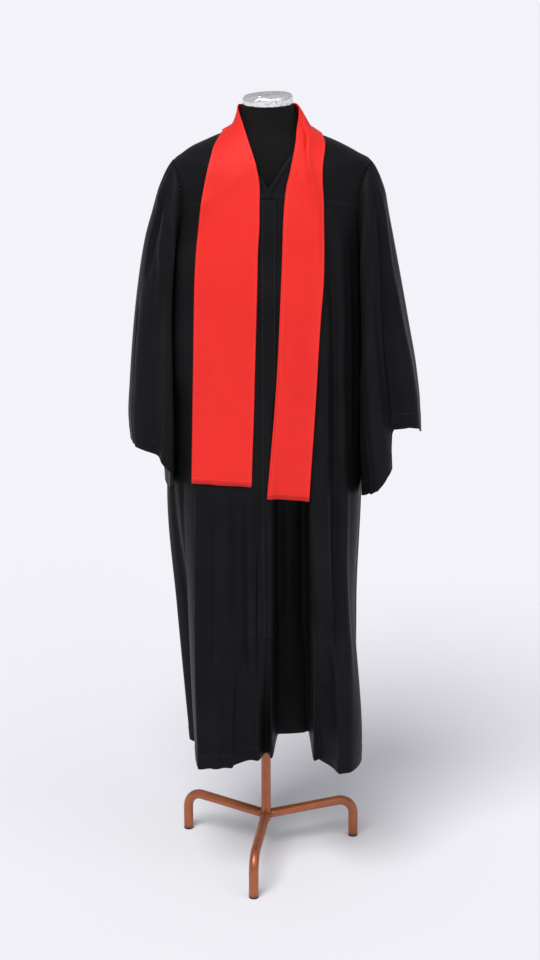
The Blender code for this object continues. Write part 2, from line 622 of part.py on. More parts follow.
def build_gown():
    pieces = {}
    upper = []
    turns = np.arange(SLEEVE_COLUMNS) * 360.0 / SLEEVE_COLUMNS
    corner = {}
    for side, word in ((-1, "right"), (1, "left")):
        edge = np.array([armhole(turn, side) for turn in turns])
        points = gown_point(edge[:, 0], edge[:, 1])
        face = gown_normal(edge[:, 0], edge[:, 1])
        grid = sleeve_points(side, points)
        normals = grid_normals(grid, True)
        if np.sum(normals[6, :, 0] * (grid[6, :, 0] - grid[6, :, 0].mean())) < 0.0:
            normals = -normals
        inward = -GOWN_WALL * normals
        inward[0] = mitre(face, normals[0], GOWN_WALL)
        corner[side] = dict(zip(turns.tolist(), inward[0]))
        outer, inner = drawn_in(grid, grid + inward, ["first row"], 1.3 * SEAM_GAP)
        pieces["sleeve_" + word] = make_wall("sleeve_" + word, outer, inner, GOWN, True)
    for side, word in ((-1, "right"), (1, "left")):
        places = front_places(side)
        grid = gown_point(places[..., 0], places[..., 1])
        inward = -GOWN_WALL * gown_normal(places[..., 0], places[..., 1])
        for step in range(len(ARMHOLE_CENTRE_ROWS)):
            inward[len(SKIRT_ROWS) + step, 0] = corner[side][(270 + 15 * step) % 360]
        outer, inner = drawn_in(grid, grid + inward, ["first column", "last column", "last row"])
        make_wall("front_" + word, outer, inner, GOWN)
        upper.append(outer)
        places = yoke_front_places(side)
        grid = gown_point(places[..., 0], places[..., 1])
        inward = -GOWN_WALL * gown_normal(places[..., 0], places[..., 1])
        for step, turn in enumerate(YOKE_TURNS):
            inward[step, 0] = corner[side].get(turn, inward[step, 0])
        straighten(grid[:, 0])
        straighten(inward[:, 0])
        sewn = ["first column", "first row", "last row", "last column"]
        outer, inner = drawn_in(grid, grid + inward, sewn)
        make_wall("yoke_front_" + word, outer, inner, GOWN)
        upper.append(outer)
        pieces["yoke_" + word] = outer
        pieces["yoke_face_" + word] = gown_normal(places[..., 0], places[..., 1])
    for kind, maker in (("back", back_places), ("yoke_back", yoke_back_places)):
        right = maker(-1)
        left = maker(1)[:, ::-1]
        places = np.concatenate([right, left[:, 1:]], axis=1)
        grid = gown_point(places[..., 0], places[..., 1])
        inward = -GOWN_WALL * gown_normal(places[..., 0], places[..., 1])
        if kind == "back":
            for step in range(len(ARMHOLE_CENTRE_ROWS)):
                key = (270 - 15 * step) % 360
                inward[len(SKIRT_ROWS) + step, 0] = corner[-1][key]
                inward[len(SKIRT_ROWS) + step, -1] = corner[1][key]
            sewn = ["first column", "last column", "last row"]
        else:
            for step, turn in enumerate(YOKE_TURNS):
                inward[step, 0] = corner[-1].get(180.0 - turn, inward[step, 0])
                inward[step, -1] = corner[1].get(180.0 - turn, inward[step, -1])
            for column in (0, -1):
                straighten(grid[:, column])
                straighten(inward[:, column])
            sewn = ["first column", "last column", "first row", "last row"]
        outer, inner = drawn_in(grid, grid + inward, sewn)
        make_wall(kind, outer, inner, GOWN)
        upper.append(outer)
        if kind == "yoke_back":
            pieces["yoke_back"] = outer
            pieces["yoke_back_face"] = gown_normal(places[..., 0], places[..., 1])
    return pieces, upper


def lay_on(points, face, wall, lift):
    """Outer and inner grid of a strip that lies on a panel."""
    return points + face * (lift + wall), points + face * lift


def build_fly():
    """Flap over the zip: the last columns of both fronts, moved out."""
    right = front_places(-1)[:, -2:]
    left = front_places(1)[:, -2:][:, ::-1]
    places = np.concatenate([right, left[:, 1:]], axis=1)[FLY_FIRST_ROW:]
    grid = gown_point(places[..., 0], places[..., 1])
    outer, inner = lay_on(grid, gown_normal(places[..., 0], places[..., 1]), BAND_WALL, LAYER_GAP)
    outer, inner = drawn_in(outer, inner, ["last row", "first row"])
    make_wall("zip_fly", outer, inner, GOWN)
    return outer


def strip_from(points, face, width):
    """Two points per row: on the edge, and a band's width in from it."""
    edge = points[:, 0]
    step = points[:, 1] - edge
    share = np.minimum(width / np.linalg.norm(step, axis=-1, keepdims=True), 1.0)
    within = edge + step * share
    face_within = unit(face[:, 0] + (face[:, 1] - face[:, 0]) * share)
    return np.stack([within, edge], axis=1), np.stack([face_within, face[:, 0]], axis=1)


def build_neck_bands(pieces):
    """Band along each side of the neck opening, from the V round to the centre back."""
    grids = []
    for side, word in ((-1, "right"), (1, "left")):
        yoke = pieces["yoke_" + word]
        face = pieces["yoke_face_" + word]
        front = strip_from(yoke[:, :-3:-1], face[:, :-3:-1], NECK_BAND_WIDTH)
        back_yoke = pieces["yoke_back"]
        back_face = pieces["yoke_back_face"]
        centre = BACK_SHOULDER_COLUMNS + BACK_NECK_COLUMNS
        if side < 0:
            columns = list(range(BACK_SHOULDER_COLUMNS + 1, centre + 1))
        else:
            columns = list(range(2 * centre - BACK_SHOULDER_COLUMNS - 1, centre - 1, -1))
        above = back_yoke[[-1, -2]][:, columns].transpose(1, 0, 2)
        above_face = back_face[[-1, -2]][:, columns].transpose(1, 0, 2)
        behind = strip_from(above, above_face, NECK_BAND_WIDTH)
        points = np.concatenate([front[0], behind[0]])
        faces = np.concatenate([front[1], behind[1]])
        lift = np.full((len(points), 1, 1), LAYER_GAP)
        if side > 0:
            over = BAND_WALL + LAYER_GAP
            lift[:3, 0, 0] += over * np.array([1.0, 1.0, 0.0])
            across = unit(points[:2, 1] - points[:2, 0])
            points[0] = points[0] + across[0] * 0.5 * NECK_BAND_WIDTH
        outer, inner = lay_on(points, faces, BAND_WALL, lift)
        outer, inner = drawn_in(outer, inner, ["first row", "last row"])
        make_wall("neck_band_" + word, outer, inner, GOWN)
        grids.append(outer)
    return grids


def front_of(tree, x, z, reach):
    """Foremost y of what lies under the stole near each x and z, found by rays from the front."""
    y = np.zeros(len(x))
    for i in range(len(x)):
        for step_x in (-reach, 0.0, reach):
            for step_z in (-0.02, 0.0, 0.02):
                start = Vector((x[i] + step_x, -1.0, z[i] + step_z))
                place = tree.ray_cast(start, Vector((0.0, 1.0, 0.0)))[0]
                if place is not None:
                    y[i] = min(y[i], place.y)
    return y


def stole_cloth(side, tree):
    """Points on the stole's inner face, from the centre back to its end."""
    neck = STOLE_NECK_RIGHT if side < 0 else STOLE_NECK_LEFT
    hang = STOLE_HANG_RIGHT if side < 0 else STOLE_HANG_LEFT
    rest = STOLE_REST if side < 0 else STOLE_REST + STOLE_WALL + 2.0 * LAYER_GAP
    across = np.linspace(0.0, 1.0, STOLE_COLUMNS + 1)
    rows = []
    stations = np.arange(len(neck), dtype=float)
    halves = np.arange(0.0, len(neck) - 0.9, 0.5)
    neck = np.stack([follow(stations, column, halves) for column in neck.T], axis=1)
    for in_x, in_y, in_z, out_x, out_y, out_z, belly in neck:
        inside = np.array([in_x, in_y, in_z])
        outside = np.array([out_x, out_y, out_z])
        middle = (inside + outside) / 2.0
        level = unit(np.array([middle[0], middle[1], 0.0]))
        pull = -belly * (0.7 * level + np.array([0.0, 0.0, 0.7]))
        row = inside + (outside - inside) * across[:, None]
        rows.append(row + pull * (4.0 * across * (1.0 - across))[:, None])
    rows = list(push_clear(np.array(rows), tree, rest, away_from_axis))
    forward = rows[-1][:, 1]
    for in_x, in_z, out_x, out_z in hang:
        x = in_x + (out_x - in_x) * across
        z = in_z + (out_z - in_z) * across
        y = front_of(tree, x, z, 0.007) - rest
        forward = np.minimum(forward, y)
        rows.append(np.stack([x, forward, z], axis=1))
    return np.array(rows)


def faces_tree(grids):
    points = []
    faces = []
    for grid in grids:
        rows, columns = grid.shape[:2]
        faces += grid_faces(rows, columns, sum(len(part) for part in points), False, False)
        points.append(grid.reshape(-1, 3))
    flat = [Vector(point) for point in np.concatenate(points)]
    return BVHTree.FromPolygons(flat, faces)


def push_clear(grid, tree, gap, outward):
    """Lift cloth that comes nearer than the gap to what lies beneath it, between points too."""
    for step in range(6):
        rows, columns = grid.shape[:2]
        fine = np.empty((2 * rows - 1, 2 * columns - 1, 3))
        fine[::2, ::2] = grid
        fine[1::2, ::2] = (grid[1:] + grid[:-1]) / 2.0
        fine[:, 1::2] = (fine[:, 2::2] + fine[:, :-2:2]) / 2.0
        lift = np.zeros_like(fine)
        for index in np.ndindex(fine.shape[:2]):
            here = Vector(fine[index])
            place, normal, face, distance = tree.find_nearest(here)
            if normal.dot(Vector(outward(np.array(place)))) < 0.0:
                normal = -normal
            short = gap - (here - place).dot(normal)
            if short > 0.0:
                lift[index] = np.array(normal) * short
        size = np.linalg.norm(lift, axis=-1)
        moved = grid.copy()
        for row, column in np.ndindex(rows, columns):
            near_rows = slice(max(2 * row - 1, 0), 2 * row + 2)
            near_columns = slice(max(2 * column - 1, 0), 2 * column + 2)
            block = size[near_rows, near_columns]
            most = np.unravel_index(block.argmax(), block.shape)
            moved[row, column] += lift[near_rows, near_columns][most]
        grid = moved
    return grid


def away_from_axis(place):
    out = np.array([place[0], place[1], 0.0])
    length = np.linalg.norm(out)
    return out / max(length, 1e-9) + np.array([0.0, 0.0, 1.0])


def build_stole(under):
    tree = faces_tree(under)
    for side, word in ((-1, "right"), (1, "left")):
        grid = stole_cloth(side, tree)
        normals = grid_normals(grid)
        if normals[-1, 4, 1] > 0.0:
            normals = -normals
        inner = grid
        outer = grid + normals * STOLE_WALL
        if side > 0:
            outer, inner = fold_under(grid, normals)
        outer, inner = drawn_in(outer, inner, ["first row"])
        make_wall("stole_" + word, outer, inner, STOLE)


def fold_under(grid, normals):
    """The left panel's inner edge is turned under, so the cloth lies double along it."""
    rows = len(grid)
    share = np.interp(np.arange(rows), [0.0, 6.0, 16.0], [0.15, 0.3, 1.0])[:, None]
    outer = [grid + normals * STOLE_WALL]
    inner = [grid]
    edge = grid[:, 0]
    face = normals[:, 0]
    aside = unit(edge - grid[:, 1])
    centre = edge - face * LAYER_GAP / 2.0
    for degrees in (45.0, 90.0, 135.0):
        turn = math.radians(degrees)
        way = math.cos(turn) * face + math.sin(turn) * aside
        outer.insert(0, (centre + way * (STOLE_WALL + LAYER_GAP / 2.0))[:, None])
        inner.insert(0, (centre + way * LAYER_GAP / 2.0)[:, None])
    for column in range(FOLDED_COLUMNS + 1):
        place = edge + (grid[:, column] - edge) * share
        under = unit(face + (normals[:, column] - face) * share)
        outer.insert(0, (place - under * (LAYER_GAP + STOLE_WALL))[:, None])
        inner.insert(0, (place - under * LAYER_GAP)[:, None])
    return np.concatenate(outer, axis=1), np.concatenate(inner, axis=1)


def build_form():
    heights = FORM[:, 0]
    angle = np.arange(FORM_COLUMNS) * 360.0 / FORM_COLUMNS
    rings = form_point(angle[None, :], heights[:, None])
    make_turned("form_torso", rings, JERSEY)
    return form_point(np.linspace(0.0, 360.0, 73)[None, :], np.linspace(1.722, 1.772, 16)[:, None])


def build_cap():
    angle = np.radians(np.arange(CAP_COLUMNS) * 360.0 / CAP_COLUMNS)
    rings = np.array([[(radius * math.cos(a), radius * math.sin(a), height) for a in angle]
                      for radius, height in CAP])
    tilt = math.radians(CAP_TILT)
    turned = rings.copy()
    turned[..., 0] = rings[..., 0] * math.cos(tilt) - rings[..., 2] * math.sin(tilt)
    turned[..., 2] = rings[..., 0] * math.sin(tilt) + rings[..., 2] * math.cos(tilt)
    middle = FORM[-1, 4]
    turned += np.array([middle, 0.0, FORM[-1, 0] + SEAM_GAP])
    floor = FORM[-1, 0] + SEAM_GAP
    turned[0][:, 2] = floor
    turned[1][:, 2] = np.maximum(turned[1][:, 2], floor + 0.0008)
    make_turned("neck_cap", turned, CHROME)


def build_stand():
    turn = np.radians(np.arange(TUBE_SIDES) * 360.0 / TUBE_SIDES)
    circle = np.stack([np.cos(turn), np.sin(turn)], axis=1) * TUBE_RADIUS
    pole_top = FORM_BOTTOM - SEAM_GAP
    pole = [[(x, y, z) for x, y in circle] for z in (POLE_BOTTOM, pole_top)]
    make_turned("stand_pole", pole, COPPER)
    centre_x = LEG_REACH - LEG_BEND
    centre_z = LEG_HEIGHT - LEG_BEND
    for word, azimuth in LEG_ANGLES.items():
        spin = math.radians(azimuth)
        out = np.array([math.cos(spin), math.sin(spin), 0.0])
        cross = np.array([-math.sin(spin), math.cos(spin), 0.0])
        up = np.array([0.0, 0.0, 1.0])
        rings = []
        lateral = circle[:, 0]
        rise = circle[:, 1]
        saddle = (TUBE_RADIUS + 1.5 * SEAM_GAP) ** 2 - lateral ** 2
        begin = np.maximum(np.sqrt(np.maximum(saddle, 0.0)),
                           np.abs(lateral) / math.tan(LEG_HALF_SPACE) + SEAM_GAP)
        rings.append(out * begin[:, None] + cross * lateral[:, None]
                     + up * (LEG_HEIGHT + rise)[:, None])
        for degrees in np.linspace(0.0, 90.0, BEND_RINGS + 1):
            swing = math.radians(degrees)
            reach = centre_x + (LEG_BEND + rise) * math.sin(swing)
            height = centre_z + (LEG_BEND + rise) * math.cos(swing)
            rings.append(out * reach[:, None] + cross * lateral[:, None] + up * height[:, None])
        foot = LEG_REACH + rise
        rings.append(out * foot[:, None] + cross * lateral[:, None]
                     + up * np.full(TUBE_SIDES, PLUG_HEIGHT + SEAM_GAP)[:, None])
        make_turned("stand_leg_" + word, rings, COPPER)
        plug = [out * (LEG_REACH + rise * share)[:, None] + cross * (lateral * share)[:, None]
                + up * np.full(TUBE_SIDES, height)[:, None]
                for share, height in ((0.90, 0.0), (1.0, 0.0012), (1.0, PLUG_HEIGHT))]
        make_turned("foot_plug_" + word, plug, RUBBER)


def main():
    clear_scene()
    pieces, upper = build_gown()
    fly = build_fly()
    bands = build_neck_bands(pieces)
    neck = build_form()
    build_stole(upper + bands + [fly, neck])
    build_cap()
    build_stand()


main()
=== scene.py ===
# %% [markdown]
# # A choir robe with its stole, on a dress form
# The robe is cut like every full-length choir robe: two fronts that meet under a zip flap, one wide
# back, a yoke over the shoulders, and two bell sleeves gathered into round armholes. A red stole
# lies round the neck and hangs down in front. A limbless form on a three-footed tube stand wears it.
#
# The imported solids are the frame: they say where every piece is. This script makes each piece again,
# finer, from the same tables, adds creases, gathers, hems and stitching, and gives it its finish.

# %% Load the frame
import math

import bpy
import numpy as np
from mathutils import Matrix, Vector
from mathutils.bvhtree import BVHTree


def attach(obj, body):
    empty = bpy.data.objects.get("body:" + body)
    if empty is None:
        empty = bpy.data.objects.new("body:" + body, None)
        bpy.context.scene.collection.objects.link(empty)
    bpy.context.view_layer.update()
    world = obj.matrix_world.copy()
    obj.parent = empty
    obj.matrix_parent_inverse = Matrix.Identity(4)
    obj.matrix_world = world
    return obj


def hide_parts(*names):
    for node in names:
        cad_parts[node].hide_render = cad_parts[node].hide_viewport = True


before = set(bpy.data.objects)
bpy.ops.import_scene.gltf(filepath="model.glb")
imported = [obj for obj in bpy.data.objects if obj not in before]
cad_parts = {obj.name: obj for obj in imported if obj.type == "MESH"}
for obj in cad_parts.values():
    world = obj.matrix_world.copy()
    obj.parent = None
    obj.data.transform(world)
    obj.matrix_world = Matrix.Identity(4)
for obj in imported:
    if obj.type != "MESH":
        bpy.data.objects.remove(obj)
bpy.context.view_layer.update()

# %% [markdown]
# ## The camera
# The photograph looks slightly down from nearly five metres away with a long lens, so the hem curves
# upwards at its middle and the stand is seen from above. Its place was worked out from the stand's
# feet, the hub and the neck cap. All tables below are about the stand's pole; FRAME_SHIFT is how far
# the pole stands from the frame's origin.

# %% Camera
FRAME_SHIFT = np.array([-0.0225, 0.0075, 0.0])
CAMERA_PLACE = Vector((0.0094 - 0.0225, -4.877 + 0.0075, 2.4885))
CAMERA_LOOKS_DOWN = 17.72
CAMERA_LENS_MM = 85.0

camera_data = bpy.data.cameras.new("camera")
camera_data.lens = CAMERA_LENS_MM
camera_data.sensor_width = 36.0
camera_data.clip_end = 100.0
camera = bpy.data.objects.new("camera", camera_data)
camera.location = CAMERA_PLACE
camera.rotation_euler = (math.radians(90.0 - CAMERA_LOOKS_DOWN), 0.0, 0.0)
bpy.context.scene.collection.objects.link(camera)
bpy.context.scene.camera = camera
print("camera at", tuple(camera.location))

# %% [markdown]
# ## Materials
# Every finish is a small node tree. Colours are sRGB hex values, as a colour picker gives them, and
# one function turns them to linear. One function adds any node with its settings and links.
# Patterns on cloth follow the cloth: each cloth piece has a UV map laid out in metres, so a scale of
# 400 means 400 repeats to the metre, 2.5 mm each.

# %% Colour and node helpers


def hex_colour(code):
    """sRGB hex to a linear colour with alpha."""
    parts = [int(code[i:i + 2], 16) / 255.0 for i in (1, 3, 5)]
    linear = [v / 12.92 if v <= 0.04045 else ((v + 0.055) / 1.055) ** 2.4 for v in parts]
    return (*linear, 1.0)


def add(tree, kind, settings=None, links=None):
    """Add a node; settings go to its sockets or properties, links come from other sockets."""
    node = tree.nodes.new(kind)
    for key, value in (settings or {}).items():
        if isinstance(key, int) or key in node.inputs:
            node.inputs[key].default_value = value
        else:
            setattr(node, key, value)
    for key, socket in (links or {}).items():
        tree.links.new(socket, node.inputs[key])
    return node


def new_material(name, shader_settings):
    material = bpy.data.materials.new(name)
    material.use_nodes = True
    tree = material.node_tree
    shader = tree.nodes["Principled BSDF"]
    for key, value in shader_settings.items():
        shader.inputs[key].default_value = value
    return material, tree, shader


# %% [markdown]
# ### Cloth
# The gown is plain-woven polyester, heat-set to a soft satin face: nearly black, with a broad dim
# shine along each ridge. Real threads are about 0.25 mm apart, too fine for the render, so the weave
# is drawn as a 2.4 mm grain; a second, wide noise gives the slight waviness of cloth that hangs.
# The stole is a closer satin weave, lined, so it is flatter and brighter.

# %% Woven cloth


def woven_cloth(name, dark, light, settings, grain_mm, grain_depth, wave_mm, wave_depth):
    material, tree, shader = new_material(name, settings)
    place = add(tree, "ShaderNodeTexCoord")
    weave = [add(tree, "ShaderNodeTexWave",
                 {"Scale": math.pi * 100.0 / grain_mm, "Distortion": 1.2, "Detail": 1.0,
                  "bands_direction": way},
                 {"Vector": place.outputs["UV"]}) for way in ("X", "Y")]
    threads = add(tree, "ShaderNodeMath", {"operation": "MULTIPLY"},
                  {0: weave[0].outputs["Fac"], 1: weave[1].outputs["Fac"]})
    waves = add(tree, "ShaderNodeTexNoise", {"Scale": 1000.0 / wave_mm, "Detail": 2.0},
                {"Vector": place.outputs["UV"]})
    tone = add(tree, "ShaderNodeTexNoise", {"Scale": 9.0, "Detail": 3.0, "Roughness": 0.6},
               {"Vector": place.outputs["Object"]})
    mixed = add(tree, "ShaderNodeMath", {"operation": "MULTIPLY_ADD", 1: 0.35},
                {0: threads.outputs[0], 2: tone.outputs["Fac"]})
    colour = add(tree, "ShaderNodeMix", {"data_type": "RGBA", 6: hex_colour(dark),
                                         7: hex_colour(light)}, {0: mixed.outputs[0]})
    tree.links.new(colour.outputs[2], shader.inputs["Base Color"])
    broad = add(tree, "ShaderNodeBump", {"Strength": 1.0, "Distance": wave_depth},
                {"Height": waves.outputs["Fac"]})
    fine = add(tree, "ShaderNodeBump", {"Strength": 1.0, "Distance": grain_depth},
               {"Height": threads.outputs[0], "Normal": broad.outputs["Normal"]})
    tree.links.new(fine.outputs["Normal"], shader.inputs["Normal"])
    return material


gown_polyester = woven_cloth(
    "gown_woven_polyester_black", "#0d0d0e", "#1c1c1e",
    {"Roughness": 0.46, "Specular IOR Level": 0.04, "Sheen Weight": 0.01, "Sheen Roughness": 0.4,
     "Sheen Tint": hex_colour("#8c8c92")},
    grain_mm=2.4, grain_depth=0.00008, wave_mm=45.0, wave_depth=0.0012)
stole_satin = woven_cloth(
    "stole_satin_weave_red", "#d9221d", "#e52a24",
    {"Roughness": 0.60, "Specular IOR Level": 0.22, "Sheen Weight": 0.04, "Sheen Roughness": 0.5,
     "Sheen Tint": hex_colour("#ff8a80")},
    grain_mm=1.6, grain_depth=0.00003, wave_mm=60.0, wave_depth=0.0010)
form_jersey = woven_cloth(
    "form_knit_jersey_black", "#080807", "#100e0d",
    {"Roughness": 0.85, "Specular IOR Level": 0.15, "Sheen Weight": 0.06, "Sheen Roughness": 0.6,
     "Sheen Tint": hex_colour("#77706a")},
    grain_mm=3.0, grain_depth=0.00012, wave_mm=60.0, wave_depth=0.0004)
print("cloth:", gown_polyester.name, stole_satin.name, form_jersey.name)

# %% [markdown]
# ### Thread, metal and rubber
# Polyester thread is a little shinier than the cloth it sews. The neck cap is thin bright-plated
# sheet, slightly crinkled, so its reflections break up. The tubes carry a copper-bronze enamel: a
# metallic paint under a clear gloss, a touch darker in patches. The plugs are moulded rubber.

# %% Other finishes


def sewing_thread(name, colour):
    material, tree, shader = new_material(
        name, {"Base Color": hex_colour(colour), "Roughness": 0.5, "Sheen Weight": 0.1})
    place = add(tree, "ShaderNodeTexCoord")
    twist = add(tree, "ShaderNodeTexWave", {"Scale": 60.0, "bands_direction": "DIAGONAL"},
                {"Vector": place.outputs["Object"]})
    bump = add(tree, "ShaderNodeBump", {"Strength": 0.3, "Distance": 0.0001},
               {"Height": twist.outputs["Fac"]})
    tree.links.new(bump.outputs["Normal"], shader.inputs["Normal"])
    return material


black_thread = sewing_thread("thread_polyester_black", "#19191b")
red_thread = sewing_thread("thread_polyester_red", "#ff5347")


def hard_finish(name, settings, noises, bump, colours=None):
    """A hard finish: its first noise mixes the two colours, its last one sets the bumps."""
    material, tree, shader = new_material(name, settings)
    place = add(tree, "ShaderNodeTexCoord")
    patterns = [add(tree, "ShaderNodeTexNoise", noise, {"Vector": place.outputs["Object"]})
                for noise in noises]
    if colours:
        colour = add(tree, "ShaderNodeMix", {"data_type": "RGBA", 6: hex_colour(colours[0]),
                                             7: hex_colour(colours[1])},
                     {0: patterns[0].outputs["Fac"]})
        tree.links.new(colour.outputs[2], shader.inputs["Base Color"])
    height = add(tree, "ShaderNodeBump", bump, {"Height": patterns[-1].outputs["Fac"]})
    tree.links.new(height.outputs["Normal"], shader.inputs["Normal"])
    return material


cap_plating = hard_finish(
    "cap_bright_plated_steel", {"Metallic": 0.72, "Roughness": 0.15},
    [{"Scale": 42.0, "Detail": 2.0, "Distortion": 1.5}], {"Strength": 1.0, "Distance": 0.0050},
    ("#dcdcde", "#fbfbfc"))
stand_enamel = hard_finish(
    "stand_copper_bronze_enamel",
    {"Metallic": 0.55, "Roughness": 0.36, "Coat Weight": 0.25, "Coat Roughness": 0.25},
    [{"Scale": 26.0, "Detail": 4.0, "Roughness": 0.6}, {"Scale": 1400.0, "Detail": 1.0}],
    {"Strength": 0.25, "Distance": 0.0002}, ("#8c4a2c", "#ba6c44"))
plug_rubber = hard_finish(
    "plug_moulded_rubber", {"Base Color": hex_colour("#1b1b1d"), "Roughness": 0.7},
    [{"Scale": 900.0}], {"Strength": 0.4, "Distance": 0.0002})
print("finishes:", cap_plating.name, stand_enamel.name, plug_rubber.name)

# %% [markdown]
# ## The gown's shape
# A gown that hangs from shoulders is one surface round the body. It is described by an angle round
# the pole (270 is the centre front, 0 the wearer's left) and a height. The tables give its reach in
# four directions at some heights, and one row for each hanging fold. The same tables made the solids
# in the frame, so the finer cloth made here lies on them.

# %% Sizes and tables of the gown
GOWN_WALL = 0.0014
BAND_WALL = 0.0010
STOLE_WALL = 0.0016
SEAM_GAP = 0.0003
LAYER_GAP = 0.0008
STOLE_REST = 0.0016
YOKE_SEAM_CENTRE = 1.595
ARMHOLE_MIDDLE = 1.529
ARMHOLE_HALF_HEIGHT = 0.128
ARMHOLE_HALF_ANGLE = {-1: 20.5, 1: 18.5}
SHOULDER_TIP = ARMHOLE_MIDDLE + ARMHOLE_HALF_HEIGHT
SIDES = ((-1, "right"), (1, "left"))
FLY_HALF_WIDTH = 0.0160
NECK_BAND_WIDTH = 0.0090

# Gown body, one row per height: reach to the right and left of the middle, front and back depth
BODY = np.array([
    # z,     right,  left,   front,  back,   middle, squareness
    (0.295, 0.184, 0.198, 0.200, 0.205, 0.006, 2.5),
    (0.370, 0.190, 0.200, 0.197, 0.202, 0.006, 2.5),
    (0.640, 0.211, 0.199, 0.186, 0.190, 0.006, 2.4),
    (0.900, 0.229, 0.207, 0.175, 0.177, 0.006, 2.3),
    (1.150, 0.223, 0.210, 0.169, 0.168, 0.006, 2.3),
    (1.300, 0.219, 0.211, 0.165, 0.162, 0.006, 2.3),
    (1.400, 0.216, 0.211, 0.160, 0.158, 0.006, 2.2),
    (1.500, 0.213, 0.214, 0.148, 0.152, 0.006, 2.1),
    (1.600, 0.210, 0.218, 0.127, 0.139, 0.006, 2.0),
    (1.645, 0.207, 0.221, 0.115, 0.129, 0.006, 2.0),
    (1.657, 0.204, 0.220, 0.111, 0.124, 0.006, 2.0),
    (1.670, 0.188, 0.198, 0.105, 0.118, 0.006, 2.0),
    (1.684, 0.168, 0.173, 0.097, 0.110, 0.006, 2.0),
    (1.698, 0.138, 0.144, 0.089, 0.101, 0.006, 2.0),
    (1.707, 0.117, 0.122, 0.083, 0.094, 0.005, 2.0),
    (1.716, 0.094, 0.097, 0.077, 0.087, 0.005, 2.0),
    (1.722, 0.081, 0.083, 0.073, 0.081, 0.004, 2.0),
    (1.735, 0.074, 0.076, 0.068, 0.075, 0.003, 2.0),
])

# Hanging folds, one row each. Angle round the body (270 is centre front, 90 centre back), half
# width in degrees and the share of it that stays flat, how far the cloth is pushed, and the
# heights where a fold starts and is full.
FOLDS = np.array([
    # angle, half, flat, push x, push y, push z, starts, full
    (285.8, 14.3, 0.68,  0.002,  0.190,  0.010, 1.250, 0.315),
    (230.0, 9.0,  0.00,  0.000, -0.014,  0.000, 0.800, 0.320),
    (305.0, 12.0, 0.00,  0.000,  0.070,  0.000, 0.800, 0.320),
    (221.0, 11.0, 0.00, -0.004, -0.045,  0.000, 1.250, 0.450),
    (199.0, 15.0, 0.00,  0.043,  0.000,  0.000, 1.100, 0.400),
    (243.0, 10.0, 0.00,  0.000,  0.010,  0.000, 0.900, 0.350),
    (262.0, 6.0,  0.00,  0.000, -0.012,  0.000, 1.000, 0.700),
    (261.0, 16.0, 0.00,  0.000,  0.075,  0.000, 0.650, 0.310),
    (269.5, 7.0,  0.00,  0.000,  0.070,  0.000, 0.600, 0.310),
    (309.0, 8.0,  0.00,  0.004, -0.012,  0.000, 1.560, 1.300),
    (317.0, 6.0,  0.00,  0.000,  0.010,  0.000, 1.550, 1.250),
    (318.0, 19.0, 0.10,  0.012, -0.070,  0.000, 0.900, 0.330),
    (333.0, 15.0, 0.00,  0.026, -0.020,  0.000, 0.800, 0.330),
    (352.0, 10.0, 0.00, -0.014,  0.000,  0.000, 0.900, 0.400),
    (160.0, 12.0, 0.00,  0.004,  0.010,  0.006, 1.250, 0.400),
    (138.0, 11.0, 0.00,  0.012, -0.022,  0.004, 1.450, 0.450),
    (118.0, 10.0, 0.00,  0.000,  0.022,  0.000, 1.500, 0.450),
    (97.0, 10.0,  0.00,  0.000, -0.028,  0.004, 1.500, 0.400),
    (76.0, 11.0,  0.00,  0.000,  0.024,  0.000, 1.500, 0.450),
    (55.0, 11.0,  0.00, -0.010, -0.022,  0.004, 1.450, 0.400),
    (34.0, 12.0,  0.00,  0.012,  0.014,  0.000, 1.300, 0.400),
    (15.0, 10.0,  0.00, -0.012,  0.000,  0.000, 1.000, 0.400),
])

# Edge of the front neck opening: height and angle away from centre front
NECKLINE = np.array([
    # z,    angle
    (1.615, 0.0),
    (1.635, 6.5),
    (1.655, 13.5),
    (1.675, 22.5),
    (1.692, 34.0),
    (1.704, 51.0),
    (1.712, 69.0),
    (1.7165, 90.0),
])
NECK_POINT = 1.7165
BACK_NECK = 1.7130

# Heights where the rows of the front yokes meet the neck opening
YOKE_NECK_ROWS = np.array([1.615, 1.640, 1.662, 1.682, 1.697, 1.7065, 1.7130, 1.7165])

# Heights of the body rows at the side seams and at the centre lines
SKIRT_ROWS = [0.300, 0.350, 0.420, 0.510, 0.610, 0.720, 0.840, 0.960, 1.080, 1.190, 1.300]
ARMHOLE_CENTRE_ROWS = [1.360, 1.395, 1.430, 1.465, 1.495, 1.525, 1.560, YOKE_SEAM_CENTRE]


